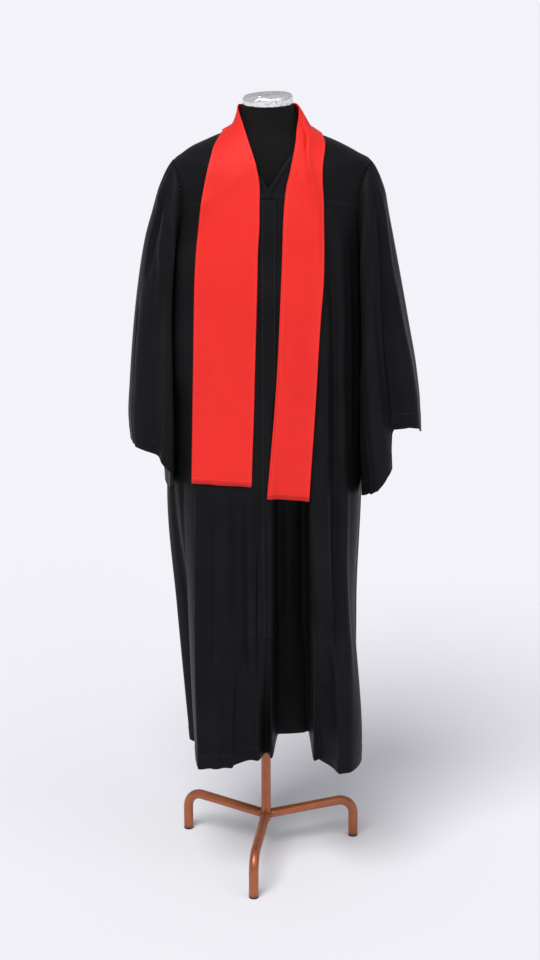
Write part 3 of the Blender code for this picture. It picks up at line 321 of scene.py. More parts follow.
# Creases read from the photograph, one row each: from one height and angle to another, half width in
# degrees, push outwards, how crisp (0 round, 1 sharp), and the height over which its ends fade
CREASES = np.array([
    # z from, angle, z to,  angle, half, push,   crisp, fade
    (0.980, 221.8, 0.290, 221.8, 2.2,  0.0045, 0.9, 0.05),
    (1.020, 236.5, 0.290, 236.0, 9.0,  0.0080, 0.0, 0.12),
    (1.040, 247.5, 0.290, 251.0, 7.5, -0.0140, 0.0, 0.20),
    (1.040, 256.0, 0.400, 258.0, 4.0,  0.0070, 0.0, 0.20),
    (1.000, 261.8, 0.400, 262.0, 4.0, -0.0100, 0.0, 0.20),
    (1.000, 266.6, 0.360, 266.0, 3.6,  0.0060, 0.0, 0.20),
    (0.960, 278.0, 0.330, 277.0, 3.5, -0.0030, 0.0, 0.10),
    (0.960, 284.8, 0.560, 283.8, 5.0,  0.0045, 0.0, 0.16),
    (1.020, 294.6, 0.450, 293.6, 4.6, -0.0110, 0.0, 0.20),
    (1.000, 302.5, 0.290, 305.2, 5.5,  0.0090, 0.0, 0.12),
    (1.040, 319.2, 0.500, 315.0, 4.4, -0.0070, 0.0, 0.18),
    (1.050, 328.0, 0.400, 323.6, 5.0,  0.0055, 0.0, 0.18),
    (0.760, 306.0, 0.600, 313.0, 7.0,  0.0045, 0.0, 0.07),
    (0.600, 307.0, 0.470, 309.0, 5.5, -0.0045, 0.0, 0.06),
    (1.560, 324.0, 1.200, 320.8, 7.0,  0.0075, 0.0, 0.10),
    (1.280, 320.8, 0.930, 325.6, 6.5,  0.0060, 0.0, 0.10),
    (1.540, 335.0, 0.970, 337.5, 5.0, -0.0040, 0.0, 0.10),
    (1.420, 310.4, 0.960, 307.6, 4.5, -0.0050, 0.0, 0.10),
    (1.540, 206.0, 1.120, 208.0, 20.0, 0.0150, 0.0, 0.09),
    (1.430, 222.5, 1.150, 222.5, 4.0, -0.0020, 0.0, 0.10),
    (1.120, 196.0, 0.330, 194.0, 4.0, -0.0050, 0.0, 0.12),
    (1.080, 209.0, 0.290, 208.0, 4.5, -0.0045, 0.0, 0.12),
    (1.560, 41.0,  0.290, 43.0,  4.0,  0.0050, 0.1, 0.14),
    (1.540, 50.0,  0.360, 51.0,  3.6, -0.0050, 0.0, 0.14),
    (1.580, 64.0,  0.290, 65.5,  4.0,  0.0050, 0.1, 0.14),
    (1.560, 84.0,  0.320, 85.0,  4.2,  0.0045, 0.1, 0.14),
    (1.560, 90.5,  0.340, 91.0,  3.4, -0.0045, 0.0, 0.14),
    (1.580, 106.0, 0.290, 107.0, 4.2,  0.0050, 0.1, 0.14),
    (1.540, 127.0, 0.300, 127.5, 4.0,  0.0050, 0.1, 0.14),
    (1.540, 133.0, 0.360, 133.5, 3.4, -0.0045, 0.0, 0.14),
    (1.560, 149.0, 0.290, 148.0, 4.2,  0.0045, 0.1, 0.14),
    (1.200, 24.0,  0.300, 23.0,  4.0,  0.0050, 0.1, 0.12),
    (1.150, 6.0,   0.300, 5.0,   4.0,  0.0045, 0.0, 0.12),
    (1.150, 168.0, 0.300, 169.0, 4.5,  0.0045, 0.0, 0.12),
])

# %% Helpers for smooth tables


def ease(value):
    value = np.clip(value, 0.0, 1.0)
    return value * value * (3.0 - 2.0 * value)


def unit(vectors):
    length = np.linalg.norm(vectors, axis=-1, keepdims=True)
    return vectors / np.maximum(length, 1e-12)


def follow(keys, values, at):
    """Smooth curve through a table's rows that never overshoots them."""
    keys = np.asarray(keys, float)
    values = np.asarray(values, float)
    at = np.clip(np.asarray(at, float), keys[0], keys[-1])
    step = np.diff(keys)
    slope = np.diff(values) / step
    tangent = np.zeros(len(keys))
    same = slope[1:] * slope[:-1] > 0.0
    one = 2.0 * step[1:] + step[:-1]
    two = step[1:] + 2.0 * step[:-1]
    safe_a = np.where(same, slope[:-1], 1.0)
    safe_b = np.where(same, slope[1:], 1.0)
    tangent[1:-1] = np.where(same, (one + two) / (one / safe_a + two / safe_b), 0.0)
    tangent[0] = slope[0]
    tangent[-1] = slope[-1]
    cell = np.clip(np.searchsorted(keys, at, side="right") - 1, 0, len(step) - 1)
    width = step[cell]
    part = (at - keys[cell]) / width
    square = part * part
    cube = square * part
    return (values[cell] * (2.0 * cube - 3.0 * square + 1.0)
            + tangent[cell] * width * (cube - 2.0 * square + part)
            + values[cell + 1] * (3.0 * square - 2.0 * cube)
            + tangent[cell + 1] * width * (cube - square))


def swell(angle, centre, half, flat=0.0):
    """How much of a fold is felt at an angle: all of it in the flat middle, none at its edge."""
    away = np.abs((angle - centre + 180.0) % 360.0 - 180.0) / half
    return ease((1.0 - away) / (1.0 - flat))


def section_radius(cosine, sine, side, depth, power):
    return ((np.abs(cosine) / side) ** power + (np.abs(sine) / depth) ** power) ** (-1.0 / power)


# %% The gown's surface


def gown_point(angle, height):
    """Face of the gown's body, with its hanging folds, at an angle in degrees and a height."""
    angle, height = np.broadcast_arrays(np.asarray(angle, float), np.asarray(height, float))
    right, left, front, back, middle, power = [
        follow(BODY[:, 0], BODY[:, column], height) for column in range(1, 7)]
    cosine = np.cos(np.radians(angle))
    sine = np.sin(np.radians(angle))
    side = np.where(cosine < 0.0, right, left)
    depth = np.where(sine < 0.0, front, back)
    radius = section_radius(cosine, sine, side, depth, power)
    point = np.stack([middle + radius * cosine, radius * sine, height], axis=-1)
    for centre, half, flat, push_x, push_y, push_z, starts, full in FOLDS:
        amount = swell(angle, centre, half, flat) * ease((starts - height) / (starts - full))
        point = point + amount[..., None] * np.array([push_x, push_y, push_z])
    return point


def gown_normal(angle, height):
    turn = gown_point(angle + 0.2, height) - gown_point(angle - 0.2, height)
    rise = gown_point(angle, height + 0.0004) - gown_point(angle, height - 0.0004)
    return unit(np.cross(turn, rise))


def crease_depth(angle, height):
    depth = np.zeros(np.broadcast(angle, height).shape)
    for z_from, angle_from, z_to, angle_to, half, push, crisp, fade in CREASES:
        along = np.clip((height - z_from) / (z_to - z_from), 0.0, 1.0)
        line = angle_from + (angle_to - angle_from) * along
        away = 1.0 - np.abs((angle - line + 180.0) % 360.0 - 180.0) / half
        shape = (1.0 - crisp) * ease(away) + crisp * np.clip(away, 0.0, 1.0) ** 1.6
        top, bottom = max(z_from, z_to), min(z_from, z_to)
        depth = depth + push * shape * ease((top - height) / fade) * ease(
            (height - bottom) / fade if bottom > 0.295 else 1.0)
    return depth


def cloth_point(angle, height):
    """Face of the gown with its hanging folds and its creases."""
    depth = crease_depth(np.asarray(angle, float), np.asarray(height, float))
    return gown_point(angle, height) + gown_normal(angle, height) * depth[..., None]


def cloth_normal(angle, height):
    turn = cloth_point(angle + 0.2, height) - cloth_point(angle - 0.2, height)
    rise = cloth_point(angle, height + 0.0006) - cloth_point(angle, height - 0.0006)
    return unit(np.cross(turn, rise))


def armhole(degrees, side):
    """Angle and height of the armhole edge; 90 is the shoulder tip and 0 the front."""
    turn = np.radians(np.asarray(degrees, float))
    height = ARMHOLE_MIDDLE + ARMHOLE_HALF_HEIGHT * np.sin(turn)
    swing = ARMHOLE_HALF_ANGLE[side] * np.cos(turn)
    return (180.0 + swing if side < 0 else 360.0 - swing), height


print("chest row", np.round(cloth_point(np.array([180.0, 270.0, 0.0, 90.0]), 1.3), 3).tolist())

# %% [markdown]
# ## Cutting the panels
# A panel is a grid of places on that surface: each place is an angle and a height. Rows run from the
# side seam or armhole to the centre line, at even steps of cloth. Close to every edge the steps get
# very small, so the shading rolls over only at the edge itself, as cloth does at a seam.

# %% Rows, columns and patches
EDGE_STEPS = (0.0006, 0.0020)


def shares(count, length):
    """Even shares from 0 to 1, with extra ones close to both ends."""
    ends = np.array(EDGE_STEPS) / length
    return np.unique(np.concatenate([np.linspace(0.0, 1.0, count + 1), ends, 1.0 - ends]))


def spread(angle, height, stops):
    """Places along a path on the gown, at the given shares of its length."""
    points = gown_point(angle, height)
    length = np.concatenate([[0.0], np.cumsum(np.linalg.norm(np.diff(points, axis=0), axis=1))])
    at = stops * length[-1]
    return np.interp(at, length, angle), np.interp(at, length, height)


def row_places(side_place, centre_place, stops):
    along = np.linspace(0.0, 1.0, 301)
    angle = side_place[0] + (centre_place[0] - side_place[0]) * along
    height = side_place[1] + (centre_place[1] - side_place[1]) * (1.0 - (1.0 - along) ** 2)
    return spread(angle, height, stops)


def panel_rows(seam, armhole_place, centre_angle, stops):
    """Places of a panel from the hem up to the yoke seam. Rows are numbered as in the tables: 0 to
    10 in the skirt, then 11 to 18 along the armhole. Extra rows lie close to the hem's steps and
    the seam."""
    last_skirt = len(SKIRT_ROWS) - 1
    last = last_skirt + len(ARMHOLE_CENTRE_ROWS)
    numbers = np.unique(np.concatenate([
        np.linspace(0.0, last, PANEL_ROWS + 1),
        [0.012, 0.04, 0.57, 0.60, 0.63, last - 0.06, last - 0.02]]))
    rows = []
    for number in numbers:
        if number <= last_skirt:
            height = np.interp(number, np.arange(last_skirt + 1), SKIRT_ROWS)
            side_place, centre = (seam, height), height
        elif number < last_skirt + 1:
            share = number - last_skirt
            low = ARMHOLE_MIDDLE - ARMHOLE_HALF_HEIGHT
            side_place = (seam, SKIRT_ROWS[-1] + (low - SKIRT_ROWS[-1]) * share)
            centre = SKIRT_ROWS[-1] + (ARMHOLE_CENTRE_ROWS[0] - SKIRT_ROWS[-1]) * share
        else:
            step = number - last_skirt - 1
            side_place = armhole_place(-90.0 + 15.0 * step)
            centre = np.interp(step, np.arange(len(ARMHOLE_CENTRE_ROWS)), ARMHOLE_CENTRE_ROWS)
        rows.append(row_places(side_place, (centre_angle, centre), stops))
    return np.array(rows).transpose(0, 2, 1)


def patch(bottom, top, side, centre):
    """Angles and heights inside four border curves given as (angle, height) arrays."""
    columns = np.linspace(0.0, 1.0, bottom.shape[0])[None, :, None]
    rows = np.linspace(0.0, 1.0, side.shape[0])[:, None, None]
    ruled_rows = (1.0 - rows) * bottom[None] + rows * top[None]
    ruled_columns = (1.0 - columns) * side[:, None] + columns * centre[:, None]
    corners = ((1.0 - rows) * ((1.0 - columns) * bottom[0] + columns * bottom[-1])
               + rows * ((1.0 - columns) * top[0] + columns * top[-1]))
    return ruled_rows + ruled_columns - corners


PANEL_ROWS = 150
PANEL_WIDTH = 0.36
COLUMN_STOPS = shares(88, PANEL_WIDTH)
YOKE_ROWS = 40
SHOULDER_SHARE = 9.0 / 16.0
print("front columns", len(COLUMN_STOPS))

# %% Places of each panel


def front_places(side):
    seam = 180.0 if side < 0 else 360.0
    return panel_rows(seam, lambda turn: armhole(turn, side), 270.0, COLUMN_STOPS)


def back_places(side):
    seam = 180.0 if side < 0 else 0.0

    def edge(turn):
        angle, height = armhole(turn, side)
        return 360.0 - angle, height
    return panel_rows(seam, edge, 90.0, COLUMN_STOPS)


def shoulder_seam(side, stops):
    height = np.linspace(SHOULDER_TIP, NECK_POINT, 201)
    seam = 180.0 if side < 0 else 360.0
    return np.array(spread(np.full(201, seam), height, stops)).T


def yoke_turns():
    return 15.0 + 75.0 * shares(YOKE_ROWS, 0.16)


def yoke_front_places(side):
    bottom = front_places(side)[-1]
    part = np.linspace(0.0, len(YOKE_NECK_ROWS), len(yoke_turns()))
    height = np.interp(part, np.arange(len(YOKE_NECK_ROWS) + 1),
                       np.concatenate([[YOKE_SEAM_CENTRE], YOKE_NECK_ROWS]))
    swing = np.where(height <= YOKE_NECK_ROWS[0], 0.0,
                     follow(NECKLINE[:, 0], NECKLINE[:, 1], height))
    centre = np.stack([270.0 + side * swing, height], axis=1)
    edge = np.array([armhole(turn, side) for turn in yoke_turns()])
    return patch(bottom, shoulder_seam(side, COLUMN_STOPS), edge, centre)


def yoke_back_places(side):
    bottom = back_places(side)[-1]
    cut = int(np.searchsorted(COLUMN_STOPS, SHOULDER_SHARE))
    seam = shoulder_seam(side, COLUMN_STOPS[:cut + 1] / COLUMN_STOPS[cut])
    start = 180.0
    if side > 0:
        seam[:, 0] = 0.0
        start = 0.0
    along = (COLUMN_STOPS[cut + 1:] - COLUMN_STOPS[cut]) / (1.0 - COLUMN_STOPS[cut])
    neck = np.stack([start + (90.0 - start) * along,
                     NECK_POINT + (BACK_NECK - NECK_POINT) * ease(along)], axis=1)
    edge = np.array([armhole(turn, side) for turn in yoke_turns()])
    edge[:, 0] = 360.0 - edge[:, 0]
    part = np.linspace(0.0, 1.0, len(edge))
    centre = np.stack([np.full(len(edge), 90.0),
                       YOKE_SEAM_CENTRE + (BACK_NECK - YOKE_SEAM_CENTRE) * part], axis=1)
    return patch(bottom, np.concatenate([seam, neck]), edge, centre)


# %% [markdown]
# ## From grid to cloth
# Cloth has two faces. Each grid is thickened inwards into a thin closed wall, its UV map is laid out
# in metres along its rows and columns, and its edges are drawn back 0.15 mm so seams stay open. A
# piece is hung on the frame's root, and the frame solids it stands for are hidden.

# %% Walls of cloth


def grid_normals(grid, around=False):
    if around:
        along = np.roll(grid, -1, axis=1) - np.roll(grid, 1, axis=1)
    else:
        along = np.gradient(grid, axis=1)
    return unit(np.cross(along, np.gradient(grid, axis=0)))


def drawn_in(outer, inner, edges, amount=SEAM_GAP / 2.0):
    """Move the named edges of a wall a little towards their neighbours, which leaves seams open."""
    outer = outer.copy()
    inner = inner.copy()
    for edge in edges:
        here, near = {
            "first row": ((0, slice(None)), (2, slice(None))),
            "last row": ((-1, slice(None)), (-3, slice(None))),
            "first column": ((slice(None), 0), (slice(None), 2)),
            "last column": ((slice(None), -1), (slice(None), -3)),
        }[edge]
        move = unit(outer[near] - outer[here]) * amount
        outer[here] = outer[here] + move
        inner[here] = inner[here] + move
    return outer, inner


def laid_flat(grid, around):
    """UV of each grid point in metres: across the cloth from its middle, and up the cloth."""
    if around:
        grid = np.concatenate([grid, grid[:, :1]], axis=1)
    across = np.zeros(grid.shape[:2])
    across[:, 1:] = np.cumsum(np.linalg.norm(np.diff(grid, axis=1), axis=-1), axis=1)
    across -= across[:, -1:] / 2.0
    up = np.zeros(grid.shape[:2])
    up[1:] = np.cumsum(np.linalg.norm(np.diff(grid, axis=0), axis=-1), axis=0)
    up = np.broadcast_to(up.mean(axis=1, keepdims=True), across.shape)
    return np.stack([across, up], axis=-1)


def grid_faces(flat, rows, columns, around):
    """Quads between neighbouring rows of a grid, and their corners' places in its UV map."""
    row, column = np.meshgrid(np.arange(rows - 1), np.arange(columns if around else columns - 1),
                              indexing="ij")
    after = (column + 1) % columns
    quads = [row * columns + column, row * columns + after, (row + 1) * columns + after,
             (row + 1) * columns + column]
    uv = [flat[row, column], flat[row, column + 1], flat[row + 1, column + 1],
          flat[row + 1, column]]
    return np.stack(quads, axis=-1).reshape(-1, 4), np.stack(uv, axis=-2).reshape(-1, 4, 2)


def in_scene(name, data):
    """A named object for a mesh, lamp or camera, linked into the scene."""
    item = bpy.data.objects.new(name, data)
    bpy.context.scene.collection.objects.link(item)
    return item


def make_mesh_piece(name, points, faces, uv, material):
    mesh = bpy.data.meshes.new(name)
    mesh.from_pydata((np.asarray(points) + FRAME_SHIFT).tolist(), [], faces)
    if uv is not None:
        layer = mesh.uv_layers.new(name="cloth_metres")
        layer.data.foreach_set("uv", np.asarray(uv, dtype=np.float32).ravel())
    mesh.materials.append(material)
    mesh.shade_smooth()
    return in_scene(name, mesh)


def on_frame(piece, slot, *nodes):
    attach(piece, "root")
    if nodes:
        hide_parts(*nodes)
    return piece


def make_cloth(name, outer, inner, material, around=False):
    """Closed cloth wall between two grids of the same size, with its UV map in metres."""
    rows, columns = outer.shape[:2]
    size = rows * columns
    flat = laid_flat(outer, around)
    points = np.concatenate([outer.reshape(-1, 3), inner.reshape(-1, 3)])
    corners, uv = grid_faces(flat, rows, columns, around)
    faces = [corners, corners[:, ::-1] + size]
    uvs = [uv, uv[:, ::-1]]
    steps = [*range(columns), 0] if around else [*range(columns)]
    rims = [([row_at * columns + k for k in steps], flat[row_at], turn)
            for row_at, turn in ((0, False), (rows - 1, True))]
    if not around:
        rims += [([k * columns + column_at for k in range(rows)], flat[:, column_at], turn)
                 for column_at, turn in ((0, True), (columns - 1, False))]
    for ring, place, turn in rims:
        ring = np.array(ring)
        here, following = ring[:-1], ring[1:]
        quad = np.stack([following, here, here + size, following + size], axis=-1)
        where = np.stack([place[1:], place[:-1], place[:-1], place[1:]], axis=-2)
        faces.append(quad[:, ::-1] if turn else quad)
        uvs.append(where[:, ::-1] if turn else where)
    faces = np.concatenate(faces)
    uvs = np.concatenate(uvs)
    first, second, third, fourth = (points[faces[:, k]] for k in range(4))
    volume = np.sum(first * np.cross(second, third)) + np.sum(first * np.cross(third, fourth))
    if volume < 0.0:
        faces, uvs = faces[:, ::-1], uvs[:, ::-1]
    return make_mesh_piece(name, points, faces.tolist(), uvs.reshape(-1, 2), material)


def cloth_area(grid):
    """Area of one face of the cloth, in square metres."""
    one = np.cross(grid[1:, 1:] - grid[:-1, :-1], grid[1:, :-1] - grid[:-1, 1:])
    return float(np.linalg.norm(one, axis=-1).sum() / 2.0)


def mitre(first, second, wall):
    """Way from a seam's outer edge to its inner edge that suits the walls on both sides."""
    together = np.maximum(1.0 + np.sum(first * second, axis=-1, keepdims=True), 0.45)
    return -wall * (first + second) / together


GRIDS = {}


def make_gown_piece(node, name, outer, inner, face, around=False):
    """Make a piece of the gown, put it on the frame and keep its grid for what is sewn to it."""
    piece = make_cloth(name, outer, inner, gown_polyester, around)
    on_frame(piece, "gown_cloth", node)
    GRIDS[node] = {"outer": outer, "face": face, "piece": piece}
    whole = np.concatenate([outer, outer[:, :1]], axis=1) if around else outer
    print(node, outer.shape[:2], "area %.4f m2" % cloth_area(whole))


HEM_PROUD = 0.0007
HEM_TOP = 0.3315


def hem_step(height):
    """A hem is folded up inside: the cloth stands slightly prouder over its 32 mm."""
    return HEM_PROUD * ease((HEM_TOP - height) / 0.0012)


# %% Fronts, back and yokes


def both_halves(places_of):
    """The right half of a panel joined to its left half at the centre line."""
    return np.concatenate([places_of(-1), places_of(1)[:, ::-1][:, 1:]], axis=1)


PANELS = [
    # name, places, sewn edges
    ("front_right", lambda: front_places(-1), ["first column", "last column", "last row"]),
    ("front_left", lambda: front_places(1), ["first column", "last column", "last row"]),
    ("yoke_front_right", lambda: yoke_front_places(-1),
     ["first column", "first row", "last row", "last column"]),
    ("yoke_front_left", lambda: yoke_front_places(1),
     ["first column", "first row", "last row", "last column"]),
    ("back", lambda: both_halves(back_places), ["first column", "last column", "last row"]),
    ("yoke_back", lambda: both_halves(yoke_back_places),
     ["first column", "last column", "first row", "last row"]),
]
for name, places_of, sewn in PANELS:
    places = places_of()
    face = cloth_normal(places[..., 0], places[..., 1])
    grid = cloth_point(places[..., 0], places[..., 1])
    grid = grid + face * hem_step(places[..., 1])[..., None]
    outer, inner = drawn_in(grid, grid - GOWN_WALL * face, sewn)
    make_gown_piece(name, name + "_cloth", outer, inner, face)

# %% [markdown]
# ## Bell sleeves
# Each sleeve is a tube that grows from the armhole to a hem 0.28 m deep. Its top is gathered into the
# armhole, so short ruffles run out from the seam and die within a hand's width. Lower down the cloth
# hangs in long folds. A ring of points goes round the sleeve (0 at the front, 90 at the top), and the
# table gives each ring's reach. The hem is turned up 32 mm inside and sewn.

# %% Tables of the sleeves
# Sleeves, one row per ring: how far out and how high its top and its underside are, half depth
# front to back, and how much its front and back edges turn in towards the body
SLEEVE_RIGHT = np.array([
    # place, out x,  out z, in x,   in z,  depth, turn in
    (0.00, 0.1980, 1.657, 0.2100, 1.401, 0.090, 0.020),
    (0.06, 0.2190, 1.640, 0.2230, 1.392, 0.096, 0.021),
    (0.14, 0.2310, 1.603, 0.2275, 1.370, 0.102, 0.023),
    (0.24, 0.2450, 1.553, 0.2300, 1.335, 0.108, 0.026),
    (0.36, 0.2640, 1.485, 0.2310, 1.282, 0.114, 0.030),
    (0.50, 0.2810, 1.385, 0.2310, 1.210, 0.120, 0.034),
    (0.64, 0.2940, 1.275, 0.2305, 1.132, 0.126, 0.039),
    (0.78, 0.3030, 1.165, 0.2300, 1.055, 0.131, 0.044),
    (0.90, 0.3075, 1.090, 0.2290, 0.992, 0.136, 0.048),
    (1.00, 0.3030, 1.034, 0.2270, 0.943, 0.140, 0.050),
])
SLEEVE_LEFT = np.array([
    # place, out x,  out z, in x,   in z,  depth, turn in
    (0.00, 0.2260, 1.657, 0.2170, 1.401, 0.090, 0.020),
    (0.06, 0.2470, 1.638, 0.2255, 1.390, 0.096, 0.021),
    (0.14, 0.2580, 1.600, 0.2275, 1.368, 0.102, 0.023),
    (0.24, 0.2680, 1.545, 0.2270, 1.332, 0.108, 0.026),
    (0.36, 0.2820, 1.475, 0.2260, 1.278, 0.114, 0.028),
    (0.50, 0.3010, 1.378, 0.2250, 1.202, 0.121, 0.030),
    (0.64, 0.3190, 1.282, 0.2245, 1.122, 0.128, 0.034),
    (0.78, 0.3350, 1.190, 0.2240, 1.040, 0.134, 0.034),
    (0.90, 0.3445, 1.110, 0.2240, 0.975, 0.138, 0.031),
    (1.00, 0.3480, 1.045, 0.2240, 0.922, 0.142, 0.030),
])
# Hem of the sleeves: angle round the sleeve, and how far its edge is raised, right and left
SLEEVE_HEM = np.array([
    # angle, right,  left
    (0.0,   0.004, -0.032),
    (15.0,  0.008, -0.018),
    (24.0,  0.010, -0.016),
    (30.5,  0.011, -0.014),
    (35.0,  0.010,  0.060),
    (45.0,  0.008,  0.056),
    (60.0,  0.005,  0.035),
    (75.0,  0.002,  0.013),
    (90.0,  0.000,  0.000),
    (120.0, 0.000,  0.008),
    (150.0, 0.006,  0.010),
    (180.0, 0.006,  0.004),
    (240.0, 0.000, -0.004),
    (270.0, 0.000, -0.004),
    (300.0, -0.008, -0.012),
    (330.0, -0.010, -0.014),
    (345.0, -0.004, -0.027),
    (360.0, 0.004, -0.032),
])

# Long sleeve folds: angle round the sleeve (0 is the front, 90 the top), depth outwards
SLEEVE_FOLDS = np.array([
    # angle, half,  right,   left,   starts
    (8.0,   20.0,  0.006,  0.008, 0.15),
    (32.0,  15.0, -0.010, -0.010, 0.20),
    (58.0,  17.0,  0.007,  0.012, 0.30),
    (110.0, 20.0,  0.006,  0.008, 0.30),
    (140.0, 18.0, -0.011, -0.012, 0.25),
    (170.0, 20.0,  0.008,  0.008, 0.20),
    (-35.0, 22.0, -0.005, -0.006, 0.40),
])
# Narrower creases that the solids leave out, right then left; those behind are the same. Each runs from one ring and angle to
# another: half width in degrees, push outwards, and how far along the sleeve its ends fade
SLEEVE_BACK_CREASES = [
    # ring, angle, ring, angle, half, push,   fade
    (0.10, 128.0, 1.30, 128.0,  7.0,  0.0040, 0.20),
    (0.10, 152.0, 1.30, 152.0,  8.0, -0.0040, 0.20),
    (0.15, 168.0, 1.30, 168.0,  7.0,  0.0040, 0.20),
    (0.35, 200.0, 1.30, 200.0,  9.0, -0.0030, 0.20),
]
SLEEVE_CREASES = {-1: np.array([
    # ring, angle, ring, angle, half, push,   fade
    (0.06,  76.0, 0.19,  90.0,  6.0, -0.0055, 0.05),
    (0.05,  66.0, 0.22,  72.0,  7.0,  0.0030, 0.06),
    (0.07,  58.0, 0.46,  57.0,  8.5, -0.0120, 0.10),
    (0.10,  44.0, 0.40,  38.0, 10.0,  0.0045, 0.12),
    (0.12,  32.0, 0.90,  32.0, 13.0,  0.0050, 0.20),
    (0.50,  70.0, 1.30,  59.0,  4.0, -0.0035, 0.10),
    (0.20, 112.0, 1.30, 112.0,  7.0, -0.0040, 0.20),
    (0.35, 332.0, 1.30, 332.0,  8.0,  0.0030, 0.20),
    *SLEEVE_BACK_CREASES]), 1: np.array([
    # ring, angle, ring, angle, half, push,   fade
    (0.07,  57.0, 0.50,  43.0,  9.0, -0.0125, 0.10),
    (0.40,  45.0, 1.30,  29.5,  8.5, -0.0150, 0.10),
    (0.14,  67.0, 0.50,  53.5, 10.0,  0.0040, 0.10),
    (0.40,  57.0, 1.30,  44.0, 14.0,  0.0050, 0.10),
    (0.05,  46.0, 0.20,  20.0,  7.0,  0.0050, 0.05),
    (0.15,  20.0, 0.60,   8.0, 15.0,  0.0050, 0.12),
    (0.52,   8.0, 1.30,   2.0, 15.0,  0.0050, 0.12),
    (0.42, 306.0, 1.60, 305.0, 34.0,  0.0085, 0.15),
    (0.12, 112.0, 1.30, 112.0,  7.0, -0.0040, 0.20),
    *SLEEVE_BACK_CREASES])}
# Ruffles at the armhole: between which angles, how many degrees each, and how deep, right and left
GATHER_FROM, GATHER_TO, GATHER_STEP = 24.0, 150.0, 5.4
GATHER_DEPTH = {-1: 0.0016, 1: 0.0007}
GATHER_REACH = 0.085
CAP_CREASE = {"angle": 63.0, "half": 5.0, "depth": 0.0055, "reach": 0.22}
# How much more the sleeve's front and back edges turn in round the body than in the solids
TURN_IN_MORE = np.array([
    # ring, right, left
    (0.00, 0.000, 0.000),
    (0.07, 0.006, 0.008),
    (0.15, 0.013, 0.016),
    (0.35, 0.015, 0.016),
    (0.60, 0.018, 0.018),
    (0.80, 0.017, 0.017),
    (0.93, 0.012, 0.012),
    (1.00, 0.006, 0.010),
])
SLEEVE_COLUMNS = 240
SLEEVE_HEM_AT = 0.944

# %% Sleeve grids


def swell_between(angle, low, high, fade):
    return ease((angle - low) / fade) * ease((high - angle) / fade)


def sleeve_points(side, armhole_points, rings):
    table = SLEEVE_RIGHT if side < 0 else SLEEVE_LEFT
    out_x, out_z, in_x, in_z, depth, turn_in = [
        follow(table[:, 0], table[:, column], rings)[:, None] for column in range(1, 7)]
    more = follow(TURN_IN_MORE[:, 0], TURN_IN_MORE[:, 1 if side < 0 else 2], rings)[:, None]
    degrees = np.arange(SLEEVE_COLUMNS) * 360.0 / SLEEVE_COLUMNS
    turn = np.radians(degrees)[None, :]
    sine = np.sin(turn)
    cosine = np.cos(turn)
    x = (out_x + in_x) / 2.0 + sine * (out_x - in_x) / 2.0 - (turn_in + more) * cosine ** 2
    z = (out_z + in_z) / 2.0 + sine * (out_z - in_z) / 2.0
    grid = np.stack([side * x, -depth * cosine + 0.0 * x, z], axis=-1)
    normals = outward_round(grid)
    for centre, half, right, left, starts in SLEEVE_FOLDS:
        amount = swell(degrees[None, :], centre, half) * ease((rings[:, None] - starts) / 0.5)
        grid = grid + normals * (amount * (right if side < 0 else left))[..., None]
    for starts, first_angle, ends, last_angle, half, push, fade in SLEEVE_CREASES[side]:
        share = np.clip((rings[:, None] - starts) / (ends - starts), 0.0, 1.0)
        line = first_angle + (last_angle - first_angle) * share
        amount = (swell(degrees[None, :], line, half) * ease((rings[:, None] - starts) / fade)
                  * ease((ends - rings[:, None]) / fade))
        grid = grid + normals * (amount * push)[..., None]
    lift = np.interp(degrees, SLEEVE_HEM[:, 0], SLEEVE_HEM[:, 1 if side < 0 else 2])
    grid[..., 2] += lift[None, :] * ease((rings[:, None] - 0.55) / 0.45)
    blend = ease(rings / 0.18)[:, None, None]
    grid = armhole_points[None] * (1.0 - blend) + grid * blend
    normals = outward_round(grid)
    near = (ease(rings / 0.012)
            * ease((GATHER_REACH - rings) / (0.8 * GATHER_REACH)))[:, None]
    ruffle = np.sin(2.0 * np.pi * (degrees - GATHER_FROM) / GATHER_STEP
                    + 0.9 * np.sin(np.radians(degrees * 3.1)))
    ruffle = ruffle * swell_between(degrees, GATHER_FROM, GATHER_TO, 12.0) * GATHER_DEPTH[side]
    grid = grid + normals * (near * ruffle[None, :])[..., None]
    if side > 0:
        reach = CAP_CREASE["reach"]
        fade = ease(rings / 0.02)[:, None] * ease((reach - rings[:, None]) / (0.7 * reach))
        amount = swell(degrees[None, :], CAP_CREASE["angle"], CAP_CREASE["half"]) * fade
        grid = grid + normals * (amount * CAP_CREASE["depth"])[..., None]
    hem = HEM_PROUD * ease((rings - SLEEVE_HEM_AT) / 0.0015)[:, None, None]
    return grid + normals * hem


def outward_round(grid):
    normals = grid_normals(grid, True)
    middle = grid.mean(axis=1, keepdims=True)
    if np.sum(normals * (grid - middle)) < 0.0:
        normals = -normals
    return normals


for side, word in SIDES:
    name = "sleeve_" + word
    rings = np.unique(np.concatenate([
        np.linspace(0.0, 0.2, 37), np.linspace(0.2, 1.0, 76), [0.001, 0.003, 0.997, 0.999],
        SLEEVE_HEM_AT + np.array([-0.004, -0.001, 0.0, 0.0015, 0.004])]))
    turns = np.arange(SLEEVE_COLUMNS) * 360.0 / SLEEVE_COLUMNS
    angle, height = armhole(turns, side)
    grid = sleeve_points(side, cloth_point(angle, height), rings)
    normals = outward_round(grid)
    inward = -GOWN_WALL * normals
    inward[0] = mitre(cloth_normal(angle, height), normals[0], GOWN_WALL)
    outer, inner = drawn_in(grid, grid + inward, ["first row"], 1.5 * SEAM_GAP)
    make_gown_piece(name, name + "_cloth", outer, inner, normals, around=True)
    GRIDS[name]["rings"] = rings

